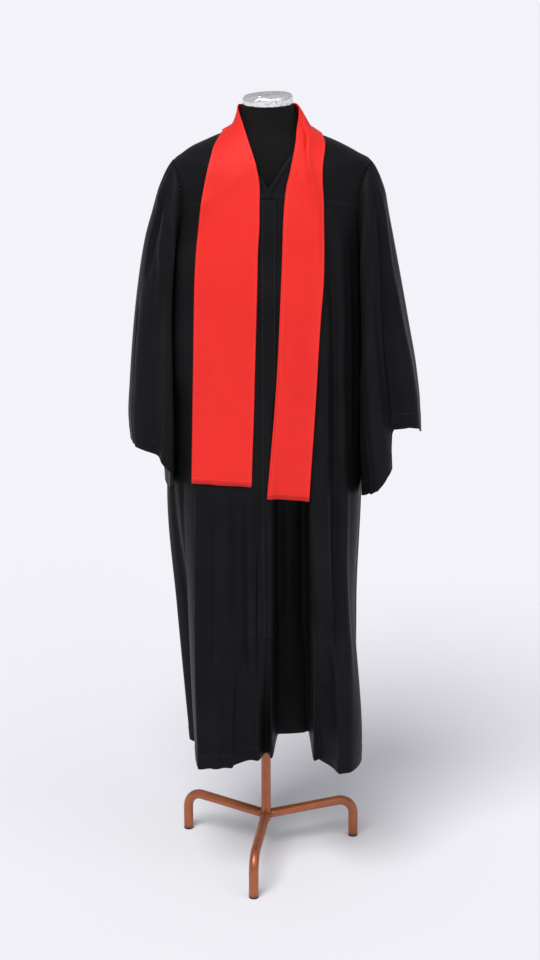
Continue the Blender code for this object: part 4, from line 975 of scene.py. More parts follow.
# %% [markdown]
# ## Zip flap and neck bands
# A flap 32 mm wide covers the zip. It is sewn down along its left edge in the picture, and the seam
# has puckered, because zip tape shrinks less than the cloth. The neck is bound with a narrow band on
# each side; the wearer's left band laps over the right one at the bottom of the V. Both are strips
# that lie on the panels, so they are made from the panels' own points, moved out.

# %% Strips that lie on a panel


def strip_inwards(lines, faces, distances):
    """Points and outward ways along each line, at the given distances from its first point."""
    points = np.empty((len(lines), len(distances), 3))
    ways = np.empty_like(points)
    for index, (line, face) in enumerate(zip(lines, faces)):
        length = np.concatenate([[0.0], np.cumsum(np.linalg.norm(np.diff(line, axis=0), axis=1))])
        for axis in range(3):
            points[index, :, axis] = np.interp(distances, length, line[:, axis])
            ways[index, :, axis] = np.interp(distances, length, face[:, axis])
    return points, unit(ways)


def finer_rows(grid, times):
    at = np.linspace(0.0, len(grid) - 1.0, (len(grid) - 1) * times + 1)
    low = np.minimum(at.astype(int), len(grid) - 2)
    part = (at - low)[:, None, None]
    return grid[low] * (1.0 - part) + grid[low + 1] * part


# %% Zip flap
FLY_BOTTOM = 0.610
PUCKER_STEP = 0.0165
PUCKER_DEPTH = 0.0018

across = np.array([0.0, 0.003, 0.006, 0.009, 0.0115, 0.0135, 0.015, FLY_HALF_WIDTH - 0.0006,
                   FLY_HALF_WIDTH])
halves = {}
for side, name in ((-1, "front_right"), (1, "front_left")):
    lines = GRIDS[name]["outer"][:, ::-1][:, :14]
    faces = GRIDS[name]["face"][:, ::-1][:, :14]
    points, ways = strip_inwards(lines, faces, across)
    halves[side] = (points[:, ::-1], ways[:, ::-1]) if side < 0 else (points, ways)
points = np.concatenate([halves[-1][0][:, :-1],
                         (halves[-1][0][:, -1:] + halves[1][0][:, :1]) / 2.0,
                         halves[1][0][:, 1:]], axis=1)
ways = unit(np.concatenate([halves[-1][1], halves[1][1][:, 1:]], axis=1))
kept = points[:, 0, 2] >= FLY_BOTTOM
points, ways = finer_rows(points[kept], 3), unit(finer_rows(ways[kept], 3))
height = points[:, 0, 2]
reach = np.concatenate([-across[::-1], across[1:]])
puckers = (0.5 + 0.5 * np.sin(2.0 * np.pi * height / PUCKER_STEP + 1.3 * np.sin(height * 37.0)))
puckers = puckers * (0.55 + 0.45 * np.sin(height * 23.0 + 1.0)) * PUCKER_DEPTH
beside = ease((-reach - 0.006) / 0.005)[None, :]
fly_lift = (LAYER_GAP + puckers[:, None] * beside)[..., None]
fly_outer = points + ways * (fly_lift + BAND_WALL)
fly_inner = points + ways * (LAYER_GAP * 0.6 + (fly_lift - LAYER_GAP))
fly_outer, fly_inner = drawn_in(fly_outer, fly_inner, ["first row", "last row"])
make_gown_piece("zip_fly", "zip_flap_cloth", fly_outer, fly_inner, ways)

# %% Neck bands
band_across = np.array([0.0, 0.0005, 0.0018, 0.0045, 0.0072, 0.0085, NECK_BAND_WIDTH])
for side, word in SIDES:
    yoke = GRIDS["yoke_front_" + word]
    back = GRIDS["yoke_back"]
    front = strip_inwards(yoke["outer"][:, ::-1][:, :16], yoke["face"][:, ::-1][:, :16],
                          band_across)
    part = np.linspace(0.0, len(YOKE_NECK_ROWS), len(yoke["outer"]))
    centre = back["outer"].shape[1] // 2
    shoulder = int(np.searchsorted(COLUMN_STOPS, SHOULDER_SHARE))
    if side < 0:
        columns = np.arange(shoulder + 1, centre + 1)
    else:
        columns = np.arange(2 * centre - shoulder - 1, centre - 1, -1)
    down = back["outer"][::-1][:16][:, columns].transpose(1, 0, 2)
    down_face = back["face"][::-1][:16][:, columns].transpose(1, 0, 2)
    behind = strip_inwards(down, down_face, band_across)
    points = np.concatenate([front[0], behind[0]])[:, ::-1]
    ways = np.concatenate([front[1], behind[1]])[:, ::-1]
    lift = np.full((len(points), 1, 1), LAYER_GAP)
    if side > 0:
        part_of = np.append(part, np.full(len(points) - len(part), 9.0))
        over = np.interp(part_of, [0.0, 1.0, 2.0], [1.0, 1.0, 0.0])
        lift[:, 0, 0] += (BAND_WALL + LAYER_GAP) * over
        lap = 0.5 * NECK_BAND_WIDTH * np.clip(1.0 - part_of, 0.0, 1.0)
        points = points + unit(points[:, -1:] - points[:, :1]) * lap[:, None, None]
    outer = points + ways * (lift + BAND_WALL)
    inner = points + ways * lift * 0.8
    outer, inner = drawn_in(outer, inner, ["first row", "last row"])
    make_gown_piece("neck_band_" + word, "neck_band_%s_cloth" % word, outer, inner, ways)

# %% [markdown]
# ## The stole
# Two bands of red satin are sewn together at the centre back. The cloth climbs the form's neck,
# turns over the shoulders and hangs in front, where it lies on the gown: rays sent in from the front
# find the gown, and the stole hangs in front of the foremost point above it. The left half in the
# picture's right is turned under along its inner edge and pleated beside the neck.

# %% Tables of the stole
# Stole, one row per station from the centre back: inner and outer edge in space, and how far the
# cloth between them sinks. The hanging rows give x and z only: they lie on the gown's front.
STOLE_NECK_RIGHT = np.array([
    # in x,   in y,   in z,   out x,  out y,  out z,  belly
    (0.0000, 0.0635, 1.7640, 0.0000, 0.1180, 1.6600, 0.010),
    (-0.0240, 0.0590, 1.7660, -0.0450, 0.1080, 1.6640, 0.010),
    (-0.0440, 0.0430, 1.7690, -0.0770, 0.0760, 1.6820, 0.009),
    (-0.0560, 0.0200, 1.7740, -0.0870, 0.0370, 1.7050, 0.007),
    (-0.0590, -0.0060, 1.7730, -0.0860, -0.0080, 1.7150, 0.006),
    (-0.0555, -0.0300, 1.7610, -0.0995, -0.0420, 1.6950, 0.006),
    (-0.0490, -0.0480, 1.7450, -0.1120, -0.0680, 1.6750, 0.006),
    (-0.0410, -0.0660, 1.7230, -0.1235, -0.0900, 1.6460, 0.005),
    (-0.0305, -0.0840, 1.6970, -0.1315, -0.1050, 1.6130, 0.004),
    (-0.0190, -0.1030, 1.6640, -0.1380, -0.1170, 1.5780, 0.002),
])
STOLE_NECK_LEFT = np.array([
    # in x,  in y,   in z,   out x,  out y,  out z,  belly
    (0.0000, 0.0635, 1.7640, 0.0000, 0.1180, 1.6600, 0.010),
    (0.0250, 0.0590, 1.7660, 0.0490, 0.1080, 1.6640, 0.010),
    (0.0480, 0.0430, 1.7700, 0.0910, 0.0760, 1.6760, 0.008),
    (0.0650, 0.0200, 1.7740, 0.1040, 0.0350, 1.6970, 0.003),
    (0.0730, -0.0060, 1.7680, 0.1100, -0.0080, 1.7040, -0.001),
    (0.0720, -0.0280, 1.7520, 0.1160, -0.0400, 1.6960, 0.001),
    (0.0680, -0.0470, 1.7350, 0.1205, -0.0640, 1.6780, 0.003),
    (0.0610, -0.0660, 1.7090, 0.1205, -0.0850, 1.6540, 0.004),
    (0.0550, -0.0850, 1.6800, 0.1212, -0.1000, 1.6250, 0.004),
    (0.0490, -0.1030, 1.6480, 0.1222, -0.1120, 1.5900, 0.002),
])
STOLE_HANG_RIGHT = np.array([
    # in x,   in z,  out x,   out z
    (-0.0120, 1.615, -0.1430, 1.535),
    (-0.0120, 1.550, -0.1475, 1.480),
    (-0.0160, 1.480, -0.1508, 1.420),
    (-0.0180, 1.400, -0.1530, 1.355),
    (-0.0205, 1.310, -0.1548, 1.280),
    (-0.0230, 1.220, -0.1565, 1.200),
    (-0.0250, 1.135, -0.1578, 1.125),
    (-0.0280, 1.050, -0.1592, 1.048),
    (-0.0305, 0.9705, -0.1606, 0.9705),
])
STOLE_HANG_LEFT = np.array([
    # in x,  in z,  out x,  out z
    (0.0437, 1.608, 0.1230, 1.550),
    (0.0387, 1.545, 0.1238, 1.492),
    (0.0365, 1.470, 0.1232, 1.425),
    (0.0335, 1.390, 0.1190, 1.355),
    (0.0300, 1.300, 0.1145, 1.278),
    (0.0262, 1.215, 0.1110, 1.200),
    (0.0205, 1.125, 0.1060, 1.117),
    (0.0130, 1.035, 0.1005, 1.026),
    (0.0045, 0.9440, 0.0955, 0.9330),
])
# The pleat in the wearer's left half: station, where across the cloth its edge lies, and its height
STOLE_PLEAT = np.array([
    # station, across, height
    (0.0,  0.20, 0.0000),
    (3.5,  0.10, 0.0000),
    (5.0,  0.18, 0.0050),
    (6.0,  0.30, 0.0085),
    (7.0,  0.38, 0.0090),
    (8.0,  0.52, 0.0078),
    (9.0,  0.66, 0.0062),
    (10.0, 0.76, 0.0044),
    (11.0, 0.80, 0.0024),
    (12.5, 0.80, 0.0000),
    (19.0, 0.70, 0.0000),
])
STOLE_ACROSS = np.unique(np.concatenate([np.linspace(0.0, 1.0, 41), [0.004, 0.012, 0.988, 0.996]]))
FOLDED_SHARE = 0.30
NECK_STEP = 0.2
HANG_STEP = 0.2

# %% Surface under the stole


def faces_tree(grids):
    points = []
    faces = []
    start = 0
    for grid in grids:
        rows, columns = grid.shape[:2]
        row, column = np.meshgrid(np.arange(rows - 1), np.arange(columns - 1), indexing="ij")
        a = start + row * columns + column
        quads = np.stack([a, a + 1, a + columns + 1, a + columns], axis=-1).reshape(-1, 4)
        faces += quads.tolist()
        points.append(grid.reshape(-1, 3))
        start += rows * columns
    return BVHTree.FromPolygons([Vector(p) for p in np.concatenate(points)], faces)


def away_from_axis(place):
    out = np.array([place[0], place[1], 0.0])
    return out / max(np.linalg.norm(out), 1e-9) + np.array([0.0, 0.0, 1.0])


def push_clear(grid, tree, gap):
    """Lift cloth that comes nearer than the gap to what lies beneath it."""
    for step in range(4):
        lift = np.zeros_like(grid)
        for index in np.ndindex(grid.shape[:2]):
            here = Vector(grid[index])
            place, normal, face, distance = tree.find_nearest(here)
            if normal.dot(Vector(away_from_axis(np.array(place)))) < 0.0:
                normal = -normal
            short = gap - (here - place).dot(normal)
            if short > 0.0:
                lift[index] = np.array(normal) * short
        if np.abs(lift).max() < 1e-5:
            break
        grid = grid + lift
    return grid


def neighbours(values):
    """The grid moved one step up, down, left and right, its borders kept."""
    wide = np.pad(values, 1, mode="edge")
    return wide[:-2, 1:-1], wide[2:, 1:-1], wide[1:-1, :-2], wide[1:-1, 2:]


def evened(values, times):
    """Blur a grid of numbers a little along both ways, its borders kept."""
    for step in range(times):
        below, above, before, after = neighbours(values)
        values = (4.0 * values + below + above + before + after) / 8.0
    return values


def rest_softly(grid, tree, gap):
    """Lift cloth clear of what lies beneath, as stiff cloth does: it bridges small steps."""
    normals = grid_normals(grid)
    lift = np.sum((push_clear(grid, tree, gap) - grid) * normals, axis=-1)
    if np.sum(lift) < 0.0:
        normals, lift = -normals, -lift
    peak = lift.copy()
    for step in range(2):
        peak = np.maximum.reduce([peak, *neighbours(peak)])
    grid = grid + normals * evened(peak, 14)[..., None]
    return push_clear(grid, tree, gap * 0.5)


def front_of(tree, x, z):
    """Foremost y of what lies under the stole at each x and z, found by rays from the front."""
    y = np.zeros(len(x))
    for index in range(len(x)):
        for step_x in (-0.004, 0.0, 0.004):
            start = Vector((x[index] + step_x, -1.0, z[index]))
            place = tree.ray_cast(start, Vector((0.0, 1.0, 0.0)))[0]
            if place is not None:
                y[index] = min(y[index], place.y)
    return y


def smooth_rows(grid, start, times):
    """Even out small steps of cloth that hangs free, keeping it in front of where it was."""
    for step in range(times):
        middle = (grid[start - 1:-2] + 2.0 * grid[start:-1] + grid[start + 1:]) / 4.0
        grid[start:-1, :, 1] = np.minimum(middle[..., 1], grid[start:-1, :, 1] + 0.0002)
        side = (grid[start:, :-2, 1] + 2.0 * grid[start:, 1:-1, 1] + grid[start:, 2:, 1]) / 4.0
        grid[start:, 1:-1, 1] = np.minimum(side, grid[start:, 1:-1, 1] + 0.0002)
    return grid


# %% Stole grids


def stole_cloth(side, tree):
    """Points on the stole's inner face from the centre back to its end, and each row's station."""
    neck = STOLE_NECK_RIGHT if side < 0 else STOLE_NECK_LEFT
    hang = STOLE_HANG_RIGHT if side < 0 else STOLE_HANG_LEFT
    rest = STOLE_REST if side < 0 else STOLE_REST + STOLE_WALL + 2.0 * LAYER_GAP
    across = STOLE_ACROSS
    last = len(neck) - 1.0
    at = np.linspace(0.0, last, int(round(last / NECK_STEP)) + 1)
    neck = np.stack([follow(np.arange(last + 1.0), column, at) for column in neck.T], axis=1)
    rows = []
    for in_x, in_y, in_z, out_x, out_y, out_z, belly in neck:
        inside = np.array([in_x, in_y, in_z])
        outside = np.array([out_x, out_y, out_z])
        middle = (inside + outside) / 2.0
        level = unit(np.array([middle[0], middle[1], 0.0]))
        pull = -belly * (0.7 * level + np.array([0.0, 0.0, 0.7]))
        row = inside + (outside - inside) * across[:, None]
        rows.append(row + pull * (4.0 * across * (1.0 - across))[:, None])
    grid = rest_softly(np.array(rows), tree, rest)
    grid[..., 0] -= grid[0, :, 0] * ease(1.0 - at)[:, None]
    rows = list(grid)
    forward = rows[-1][:, 1]
    start = np.array([[rows[-1][0, 0], rows[-1][0, 2], rows[-1][-1, 0], rows[-1][-1, 2]]])
    hang = np.concatenate([start, hang])
    further = np.arange(HANG_STEP, len(hang) - 1.0 + 1e-6, HANG_STEP)
    hang = np.stack([follow(np.arange(len(hang)), column, further) for column in hang.T], axis=1)
    for in_x, in_z, out_x, out_z in hang:
        x = in_x + (out_x - in_x) * across
        z = in_z + (out_z - in_z) * across
        forward = np.minimum(forward, front_of(tree, x, z) - rest)
        rows.append(np.stack([x, forward, z], axis=1))
    grid = smooth_rows(np.array(rows), len(at), 12)
    return grid, np.concatenate([at, last + further])


def pleated(grid, normals, station):
    """Raise the cloth on the outer side of the pleat's edge and sink it just inside the edge."""
    line = follow(STOLE_PLEAT[:, 0], STOLE_PLEAT[:, 1], station)[:, None]
    height = follow(STOLE_PLEAT[:, 0], STOLE_PLEAT[:, 2], station)[:, None]
    away = STOLE_ACROSS[None, :] - line
    over = height * ease((away + 0.025) / 0.05) * np.exp(-np.clip(away, 0.0, None) / 0.16)
    under = -0.35 * height * ease((0.01 - away) / 0.05) * np.exp(np.clip(away, None, 0.0) / 0.10)
    pocket = -0.0045 * np.exp(-((station[:, None] - 6.2) / 0.8) ** 2 - (away / 0.07) ** 2)
    keep = ease(STOLE_ACROSS / 0.08) * ease((1.0 - STOLE_ACROSS) / 0.08)
    return grid + normals * ((over + under + pocket) * keep[None, :])[..., None]


def fold_under(grid, normals, station):
    """The left half's inner edge is turned under, so the cloth lies double along it."""
    share = np.interp(station, [0.0, 3.0, 8.0], [0.15, 0.3, 1.0])[:, None]
    outer = [grid + normals * STOLE_WALL]
    inner = [grid]
    edge = grid[:, 0]
    face = normals[:, 0]
    aside = unit(edge - grid[:, 4])
    centre = edge - face * LAYER_GAP / 2.0
    for degrees in (22.5, 45.0, 67.5, 90.0, 112.5, 135.0, 157.5):
        turn = math.radians(degrees)
        way = math.cos(turn) * face + math.sin(turn) * aside
        outer.insert(0, (centre + way * (STOLE_WALL + LAYER_GAP / 2.0))[:, None])
        inner.insert(0, (centre + way * LAYER_GAP / 2.0)[:, None])
    for column in np.flatnonzero(STOLE_ACROSS <= FOLDED_SHARE):
        place = edge + (grid[:, column] - edge) * share
        under = unit(face + (normals[:, column] - face) * share)
        outer.insert(0, (place - under * (LAYER_GAP + STOLE_WALL))[:, None])
        inner.insert(0, (place - under * LAYER_GAP)[:, None])
    return np.concatenate(outer, axis=1), np.concatenate(inner, axis=1)


# %% [markdown]
# ## The dress form
# The form is a hollow moulded torso with a round neck, pulled over with black jersey. Rings of one
# table give its reach to the sides, front and back. A bright pressed-steel cap closes the neck; it
# sits a little askew, as these caps do.

# %% Table of the form
# One row per ring: height, reach to the sides, front and back, and its middle
FORM = np.array([
    # z,     side,   front,  back,  middle, squareness
    (0.930, 0.163, 0.112, 0.118, 0.000, 2.3),
    (1.010, 0.168, 0.118, 0.122, 0.000, 2.3),
    (1.100, 0.158, 0.110, 0.108, 0.000, 2.2),
    (1.200, 0.135, 0.098, 0.090, 0.000, 2.2),
    (1.300, 0.146, 0.112, 0.098, 0.001, 2.2),
    (1.400, 0.163, 0.130, 0.114, 0.001, 2.2),
    (1.500, 0.176, 0.126, 0.122, 0.002, 2.1),
    (1.580, 0.188, 0.113, 0.123, 0.003, 2.1),
    (1.6305, 0.1935, 0.103, 0.116, 0.0045, 2.0),
    (1.6486, 0.1915, 0.098, 0.112, 0.0045, 2.0),
    (1.6606, 0.1835, 0.094, 0.108, 0.0045, 2.0),
    (1.6726, 0.1715, 0.090, 0.104, 0.0045, 2.0),
    (1.6846, 0.1555, 0.085, 0.098, 0.0045, 2.0),
    (1.6966, 0.1335, 0.080, 0.090, 0.005, 2.0),
    (1.7066, 0.1110, 0.074, 0.082, 0.005, 2.0),
    (1.7154, 0.0886, 0.069, 0.074, 0.005, 2.0),
    (1.725, 0.0735, 0.0645, 0.067, 0.005, 2.0),
    (1.740, 0.0650, 0.0605, 0.061, 0.005, 2.0),
    (1.758, 0.0590, 0.0570, 0.0575, 0.005, 2.0),
    (1.7765, 0.0556, 0.0550, 0.0550, 0.005, 2.0),
])

# %% Dress form


def form_point(angle, height):
    angle, height = np.broadcast_arrays(np.asarray(angle, float), np.asarray(height, float))
    side, front, back, middle, power = [
        follow(FORM[:, 0], FORM[:, column], height) for column in range(1, 6)]
    cosine = np.cos(np.radians(angle))
    sine = np.sin(np.radians(angle))
    depth = np.where(sine < 0.0, front, back)
    radius = section_radius(cosine, sine, side, depth, power)
    return np.stack([middle + radius * cosine, radius * sine, height], axis=-1)


def lathe(profile, count=48):
    """Rings about an upright axis from a table of (radius, height)."""
    turn = np.radians(np.arange(count) * 360.0 / count)
    return np.array([[(radius * math.cos(a), radius * math.sin(a), height) for a in turn]
                     for radius, height in profile])


def face_outwards(piece):
    """Turn a closed mesh's faces outwards if they all point in."""
    mesh = piece.data
    mesh.calc_loop_triangles()
    corners = np.array([tri.vertices[:] for tri in mesh.loop_triangles])
    points = np.array([v.co[:] for v in mesh.vertices])
    volume = np.sum(points[corners[:, 0]] * np.cross(points[corners[:, 1]], points[corners[:, 2]]))
    if volume < 0.0:
        mesh.flip_normals()
    return piece


def make_turned(name, rings, material):
    """Closed solid from stacked rings of points, each end drawn in to its middle."""
    rings = np.asarray(rings, float)
    count, columns = rings.shape[:2]
    faces, uv = grid_faces(laid_flat(rings, True), count, columns, True)
    points = np.concatenate([rings.reshape(-1, 3), [rings[0].mean(axis=0), rings[-1].mean(axis=0)]])
    last = (count - 1) * columns
    ends = []
    for here in range(columns):
        following = (here + 1) % columns
        ends += [(following, here, count * columns),
                 (last + here, last + following, count * columns + 1)]
    end_uv = points[np.array(ends).ravel()][:, :2]
    uv = np.concatenate([uv.reshape(-1, 2), end_uv])
    return face_outwards(make_mesh_piece(name, points, faces.tolist() + ends, uv, material))


TURNED_SIDES = 96
form_heights = np.unique(np.concatenate([
    np.linspace(FORM[0, 0], FORM[-1, 0], 110), FORM[0, 0] + np.array([0.0006, 0.002]),
    FORM[-1, 0] - np.array([0.0006, 0.002])]))
form_angles = np.arange(TURNED_SIDES) * 360.0 / TURNED_SIDES
form = make_turned("form_jersey_torso", form_point(form_angles[None, :], form_heights[:, None]),
                   form_jersey)
on_frame(form, "form_jersey", "form_torso")
print("form", len(form.data.polygons), "faces")

# %% Make the stole


def forward_normals(grid):
    """Normals of the stole that point forwards at its hanging end."""
    normals = grid_normals(grid)
    return -normals if normals[-1, len(STOLE_ACROSS) // 2, 1] > 0.0 else normals


under_stole = faces_tree(
    [GRIDS[key]["outer"] for key in ("front_right", "front_left", "back", "yoke_front_right",
                                     "yoke_front_left", "yoke_back", "zip_fly", "neck_band_right",
                                     "neck_band_left")]
    + [form_point(np.linspace(0.0, 360.0, 73)[None, :], np.linspace(1.722, 1.772, 16)[:, None])])
for side, word in SIDES:
    grid, station = stole_cloth(side, under_stole)
    normals = forward_normals(grid)
    waves = np.sin(STOLE_ACROSS * 6.0 + station[:, None] * 0.45 + (0.0 if side < 0 else 2.0))
    sway = 0.0009 * waves * ease((station[:, None] - 8.0) / 3.0)
    grid = grid + normals * np.abs(sway)[..., None]
    if side > 0:
        grid = pleated(grid, normals, station)
        normals = forward_normals(grid)
        outer, inner = fold_under(grid, normals, station)
    else:
        outer, inner = grid + normals * STOLE_WALL, grid
    outer, inner = drawn_in(outer, inner, ["first row"])
    piece = make_cloth("stole_%s_cloth" % word, outer, inner, stole_satin)
    on_frame(piece, "stole_cloth", "stole_" + word)
    GRIDS["stole_" + word] = {"outer": grid + normals * STOLE_WALL, "face": normals, "piece": piece}
    print("stole", word, outer.shape[:2], "area %.3f m2" % cloth_area(outer))

# %% [markdown]
# ## Neck cap
# The cap is a shallow pressed lid: a rolled rim, a step with a groove, and a small slotted screw in
# its middle. It is a lathe shape, turned about its own axis and then leaned over a few degrees.

# %% Neck cap
CAP_FINE = np.array([
    # radius, height
    (0.0530, 0.0000), (0.0545, 0.0006), (0.0547, 0.0016), (0.0547, 0.0098), (0.0544, 0.0120),
    (0.0537, 0.0140), (0.0526, 0.0157), (0.0511, 0.0172), (0.0492, 0.0184), (0.0466, 0.0192),
    (0.0444, 0.0194), (0.0436, 0.0191), (0.0428, 0.0185), (0.0418, 0.0182), (0.0400, 0.0181),
    (0.0390, 0.0183), (0.0382, 0.0190), (0.0373, 0.0196), (0.0360, 0.0200), (0.0330, 0.0202),
    (0.0230, 0.0203), (0.0120, 0.0203), (0.0098, 0.0202), (0.0088, 0.0197), (0.0080, 0.0190),
    (0.0070, 0.0188),
])
CAP_TALLER = 1.1
CAP_TILT_DEGREES = 3.2


def leaned(points):
    tilt = math.radians(CAP_TILT_DEGREES)
    points = np.asarray(points, float)
    turned = points.copy()
    turned[..., 0] = points[..., 0] * math.cos(tilt) - points[..., 2] * math.sin(tilt)
    turned[..., 2] = points[..., 0] * math.sin(tilt) + points[..., 2] * math.cos(tilt)
    return turned + np.array([FORM[-1, 4], 0.0, FORM[-1, 0] + SEAM_GAP])


cap_turn = np.radians(np.arange(TURNED_SIDES) * 360.0 / TURNED_SIDES)
cap_rings = lathe(CAP_FINE * (1.0, CAP_TALLER), TURNED_SIDES)
dents = 0.0004 * (np.sin(5.0 * cap_turn + 0.7) + 0.6 * np.sin(11.0 * cap_turn + 2.0))
cap_rings[1:8, :, :2] *= (1.0 - np.abs(dents) / 0.0547)[None, :, None]
cap_points = leaned(cap_rings)
cap_floor = FORM[-1, 0] + SEAM_GAP
cap_points[0, :, 2] = cap_floor
cap_points[1:3, :, 2] = np.maximum(cap_points[1:3, :, 2],
                                   cap_floor + np.array([[0.0005], [0.0010]]))
cap = make_turned("neck_cap_plated", cap_points, cap_plating)
on_frame(cap, "cap_chrome", "neck_cap")

screw_rings = lathe([(0.0056, 0.0189), (0.0060, 0.0196), (0.0057, 0.0206), (0.0044, 0.0213),
                     (0.0012, 0.0216)], TURNED_SIDES // 4)
slot_half = 0.0007
for ring in screw_rings[2:]:
    inside = np.abs(ring[:, 1]) < slot_half * 1.6
    ring[inside, 2] -= 0.0010
screw = make_turned("neck_cap_screw", leaned(screw_rings), plug_rubber)
on_frame(screw, "cap_chrome")
print("cap", len(cap.data.polygons), "faces")

# %% [markdown]
# ## The stand
# Three bent steel tubes are welded to the foot of the pole. Each leg runs out level and then turns
# straight down to a rubber plug. A small bolt shows under the middle, and a narrow weld runs round
# each joint, rippled by the welder's steps.

# %% Sizes of the stand
TUBE_RADIUS = 0.01125
LEG_HEIGHT = 0.100
LEG_REACH = 0.228
LEG_BEND = 0.042
LEG_ANGLES = {"right": 145.8, "left": 23.0, "front": -97.0}
LEG_HALF_SPACE = math.radians(58.4)
PLUG_HEIGHT = 0.004
POLE_BOTTOM = 0.084
FORM_BOTTOM = 0.930
TUBE_SIDES = 48
BEND_RINGS = 24
UP = np.array([0.0, 0.0, 1.0])


def weld_bead(name, path, radius, ripples):
    """A closed bead that follows a loop of points, a little thicker and thinner by turns."""
    count = len(path)
    ahead = unit(np.roll(path, -1, axis=0) - np.roll(path, 1, axis=0))
    middle = path.mean(axis=0)
    away = unit(path - middle)
    aside = unit(np.cross(ahead, away))
    away = np.cross(aside, ahead)
    size = radius * (1.0 + 0.13 * np.sin(np.arange(count) * 2.0 * np.pi * ripples / count))
    turn = np.radians(np.arange(10) * 36.0)
    rings = (path[:, None] + size[:, None, None] * (
        np.cos(turn)[None, :, None] * away[:, None] + np.sin(turn)[None, :, None] * aside[:, None]))
    row, column = np.meshgrid(np.arange(count), np.arange(10), indexing="ij")
    next_row, next_column = (row + 1) % count, (column + 1) % 10
    faces = np.stack([row * 10 + column, row * 10 + next_column, next_row * 10 + next_column,
                      next_row * 10 + column], axis=-1).reshape(-1, 4)
    return face_outwards(make_mesh_piece(name, rings.reshape(-1, 3), faces.tolist(), None,
                                         stand_enamel))


# %% Pole, legs, welds and plugs
pole_profile = [(TUBE_RADIUS - 0.0008, POLE_BOTTOM), (TUBE_RADIUS, POLE_BOTTOM + 0.0006)]
pole_profile += [(TUBE_RADIUS, height) for height in np.linspace(0.1, FORM_BOTTOM - SEAM_GAP, 8)]
pole = make_turned("stand_pole_tube", lathe(pole_profile), stand_enamel)
on_frame(pole, "stand_paint", "stand_pole")

bolt_profile = [(0.0040, 0.0766), (0.0052, 0.0774), (0.0054, 0.0790), (0.0054, 0.0835),
                (0.0075, 0.0836), (0.0075, 0.0843)]
bolt = make_turned("hub_bolt", lathe(bolt_profile, 24), plug_rubber)
on_frame(bolt, "stand_paint")

turn = np.radians(np.arange(TUBE_SIDES) * 360.0 / TUBE_SIDES)
lateral, rise = TUBE_RADIUS * np.cos(turn), TUBE_RADIUS * np.sin(turn)
for word, azimuth in LEG_ANGLES.items():
    spin = math.radians(azimuth)
    out = np.array([math.cos(spin), math.sin(spin), 0.0])
    cross = np.array([-math.sin(spin), math.cos(spin), 0.0])

    def placed(reach, side, height):
        return out * np.broadcast_to(reach, (TUBE_SIDES,))[:, None] + cross * side[:, None] \
            + UP * np.broadcast_to(height, (TUBE_SIDES,))[:, None]

    saddle = (TUBE_RADIUS + 1.5 * SEAM_GAP) ** 2 - lateral ** 2
    begin = np.maximum(np.sqrt(np.maximum(saddle, 0.0)),
                       np.abs(lateral) / math.tan(LEG_HALF_SPACE) + SEAM_GAP)
    rings = [placed(begin, lateral, LEG_HEIGHT + rise)]
    rings += [placed(reach, lateral, LEG_HEIGHT + rise)
              for reach in np.linspace(0.02, LEG_REACH - LEG_BEND, 12)[:-1]]
    for degrees in np.linspace(0.0, 90.0, BEND_RINGS + 1):
        swing = math.radians(degrees)
        rings.append(placed(LEG_REACH - LEG_BEND + (LEG_BEND + rise) * math.sin(swing), lateral,
                            LEG_HEIGHT - LEG_BEND + (LEG_BEND + rise) * math.cos(swing)))
    for height in np.linspace(LEG_HEIGHT - LEG_BEND, PLUG_HEIGHT + SEAM_GAP, 7)[1:]:
        rings.append(placed(LEG_REACH + rise, lateral, height))
    leg = make_turned("stand_leg_%s_tube" % word, rings, stand_enamel)
    on_frame(leg, "stand_paint", "stand_leg_" + word)
    weld = weld_bead("weld_" + word, rings[0] + 0.0004 * out, 0.0013, 15)
    on_frame(weld, "stand_paint")
    plug_rings = [placed(LEG_REACH + rise * share, lateral * share, height)
                  for share, height in ((0.84, 0.0), (0.92, 0.0002), (0.98, 0.0007), (1.0, 0.0014),
                                        (1.0, PLUG_HEIGHT - 0.0006), (0.98, PLUG_HEIGHT))]
    plug = make_turned("foot_plug_%s_rubber" % word, plug_rings, plug_rubber)
    on_frame(plug, "plug_rubber", "foot_plug_" + word)
    print("leg", word, len(leg.data.polygons), "faces")

# %% [markdown]
# ## Stitches
# Every seam line is sewn with the same lock stitch: 3 mm of thread, then a 1.5 mm gap where it dips
# into the cloth. A Geometry Nodes tree walks along a line, sets one small bead of thread per stitch
# and turns it along the line. The result is turned into a plain mesh, one for the black thread and
# one for the red.

# %% Row of stitches


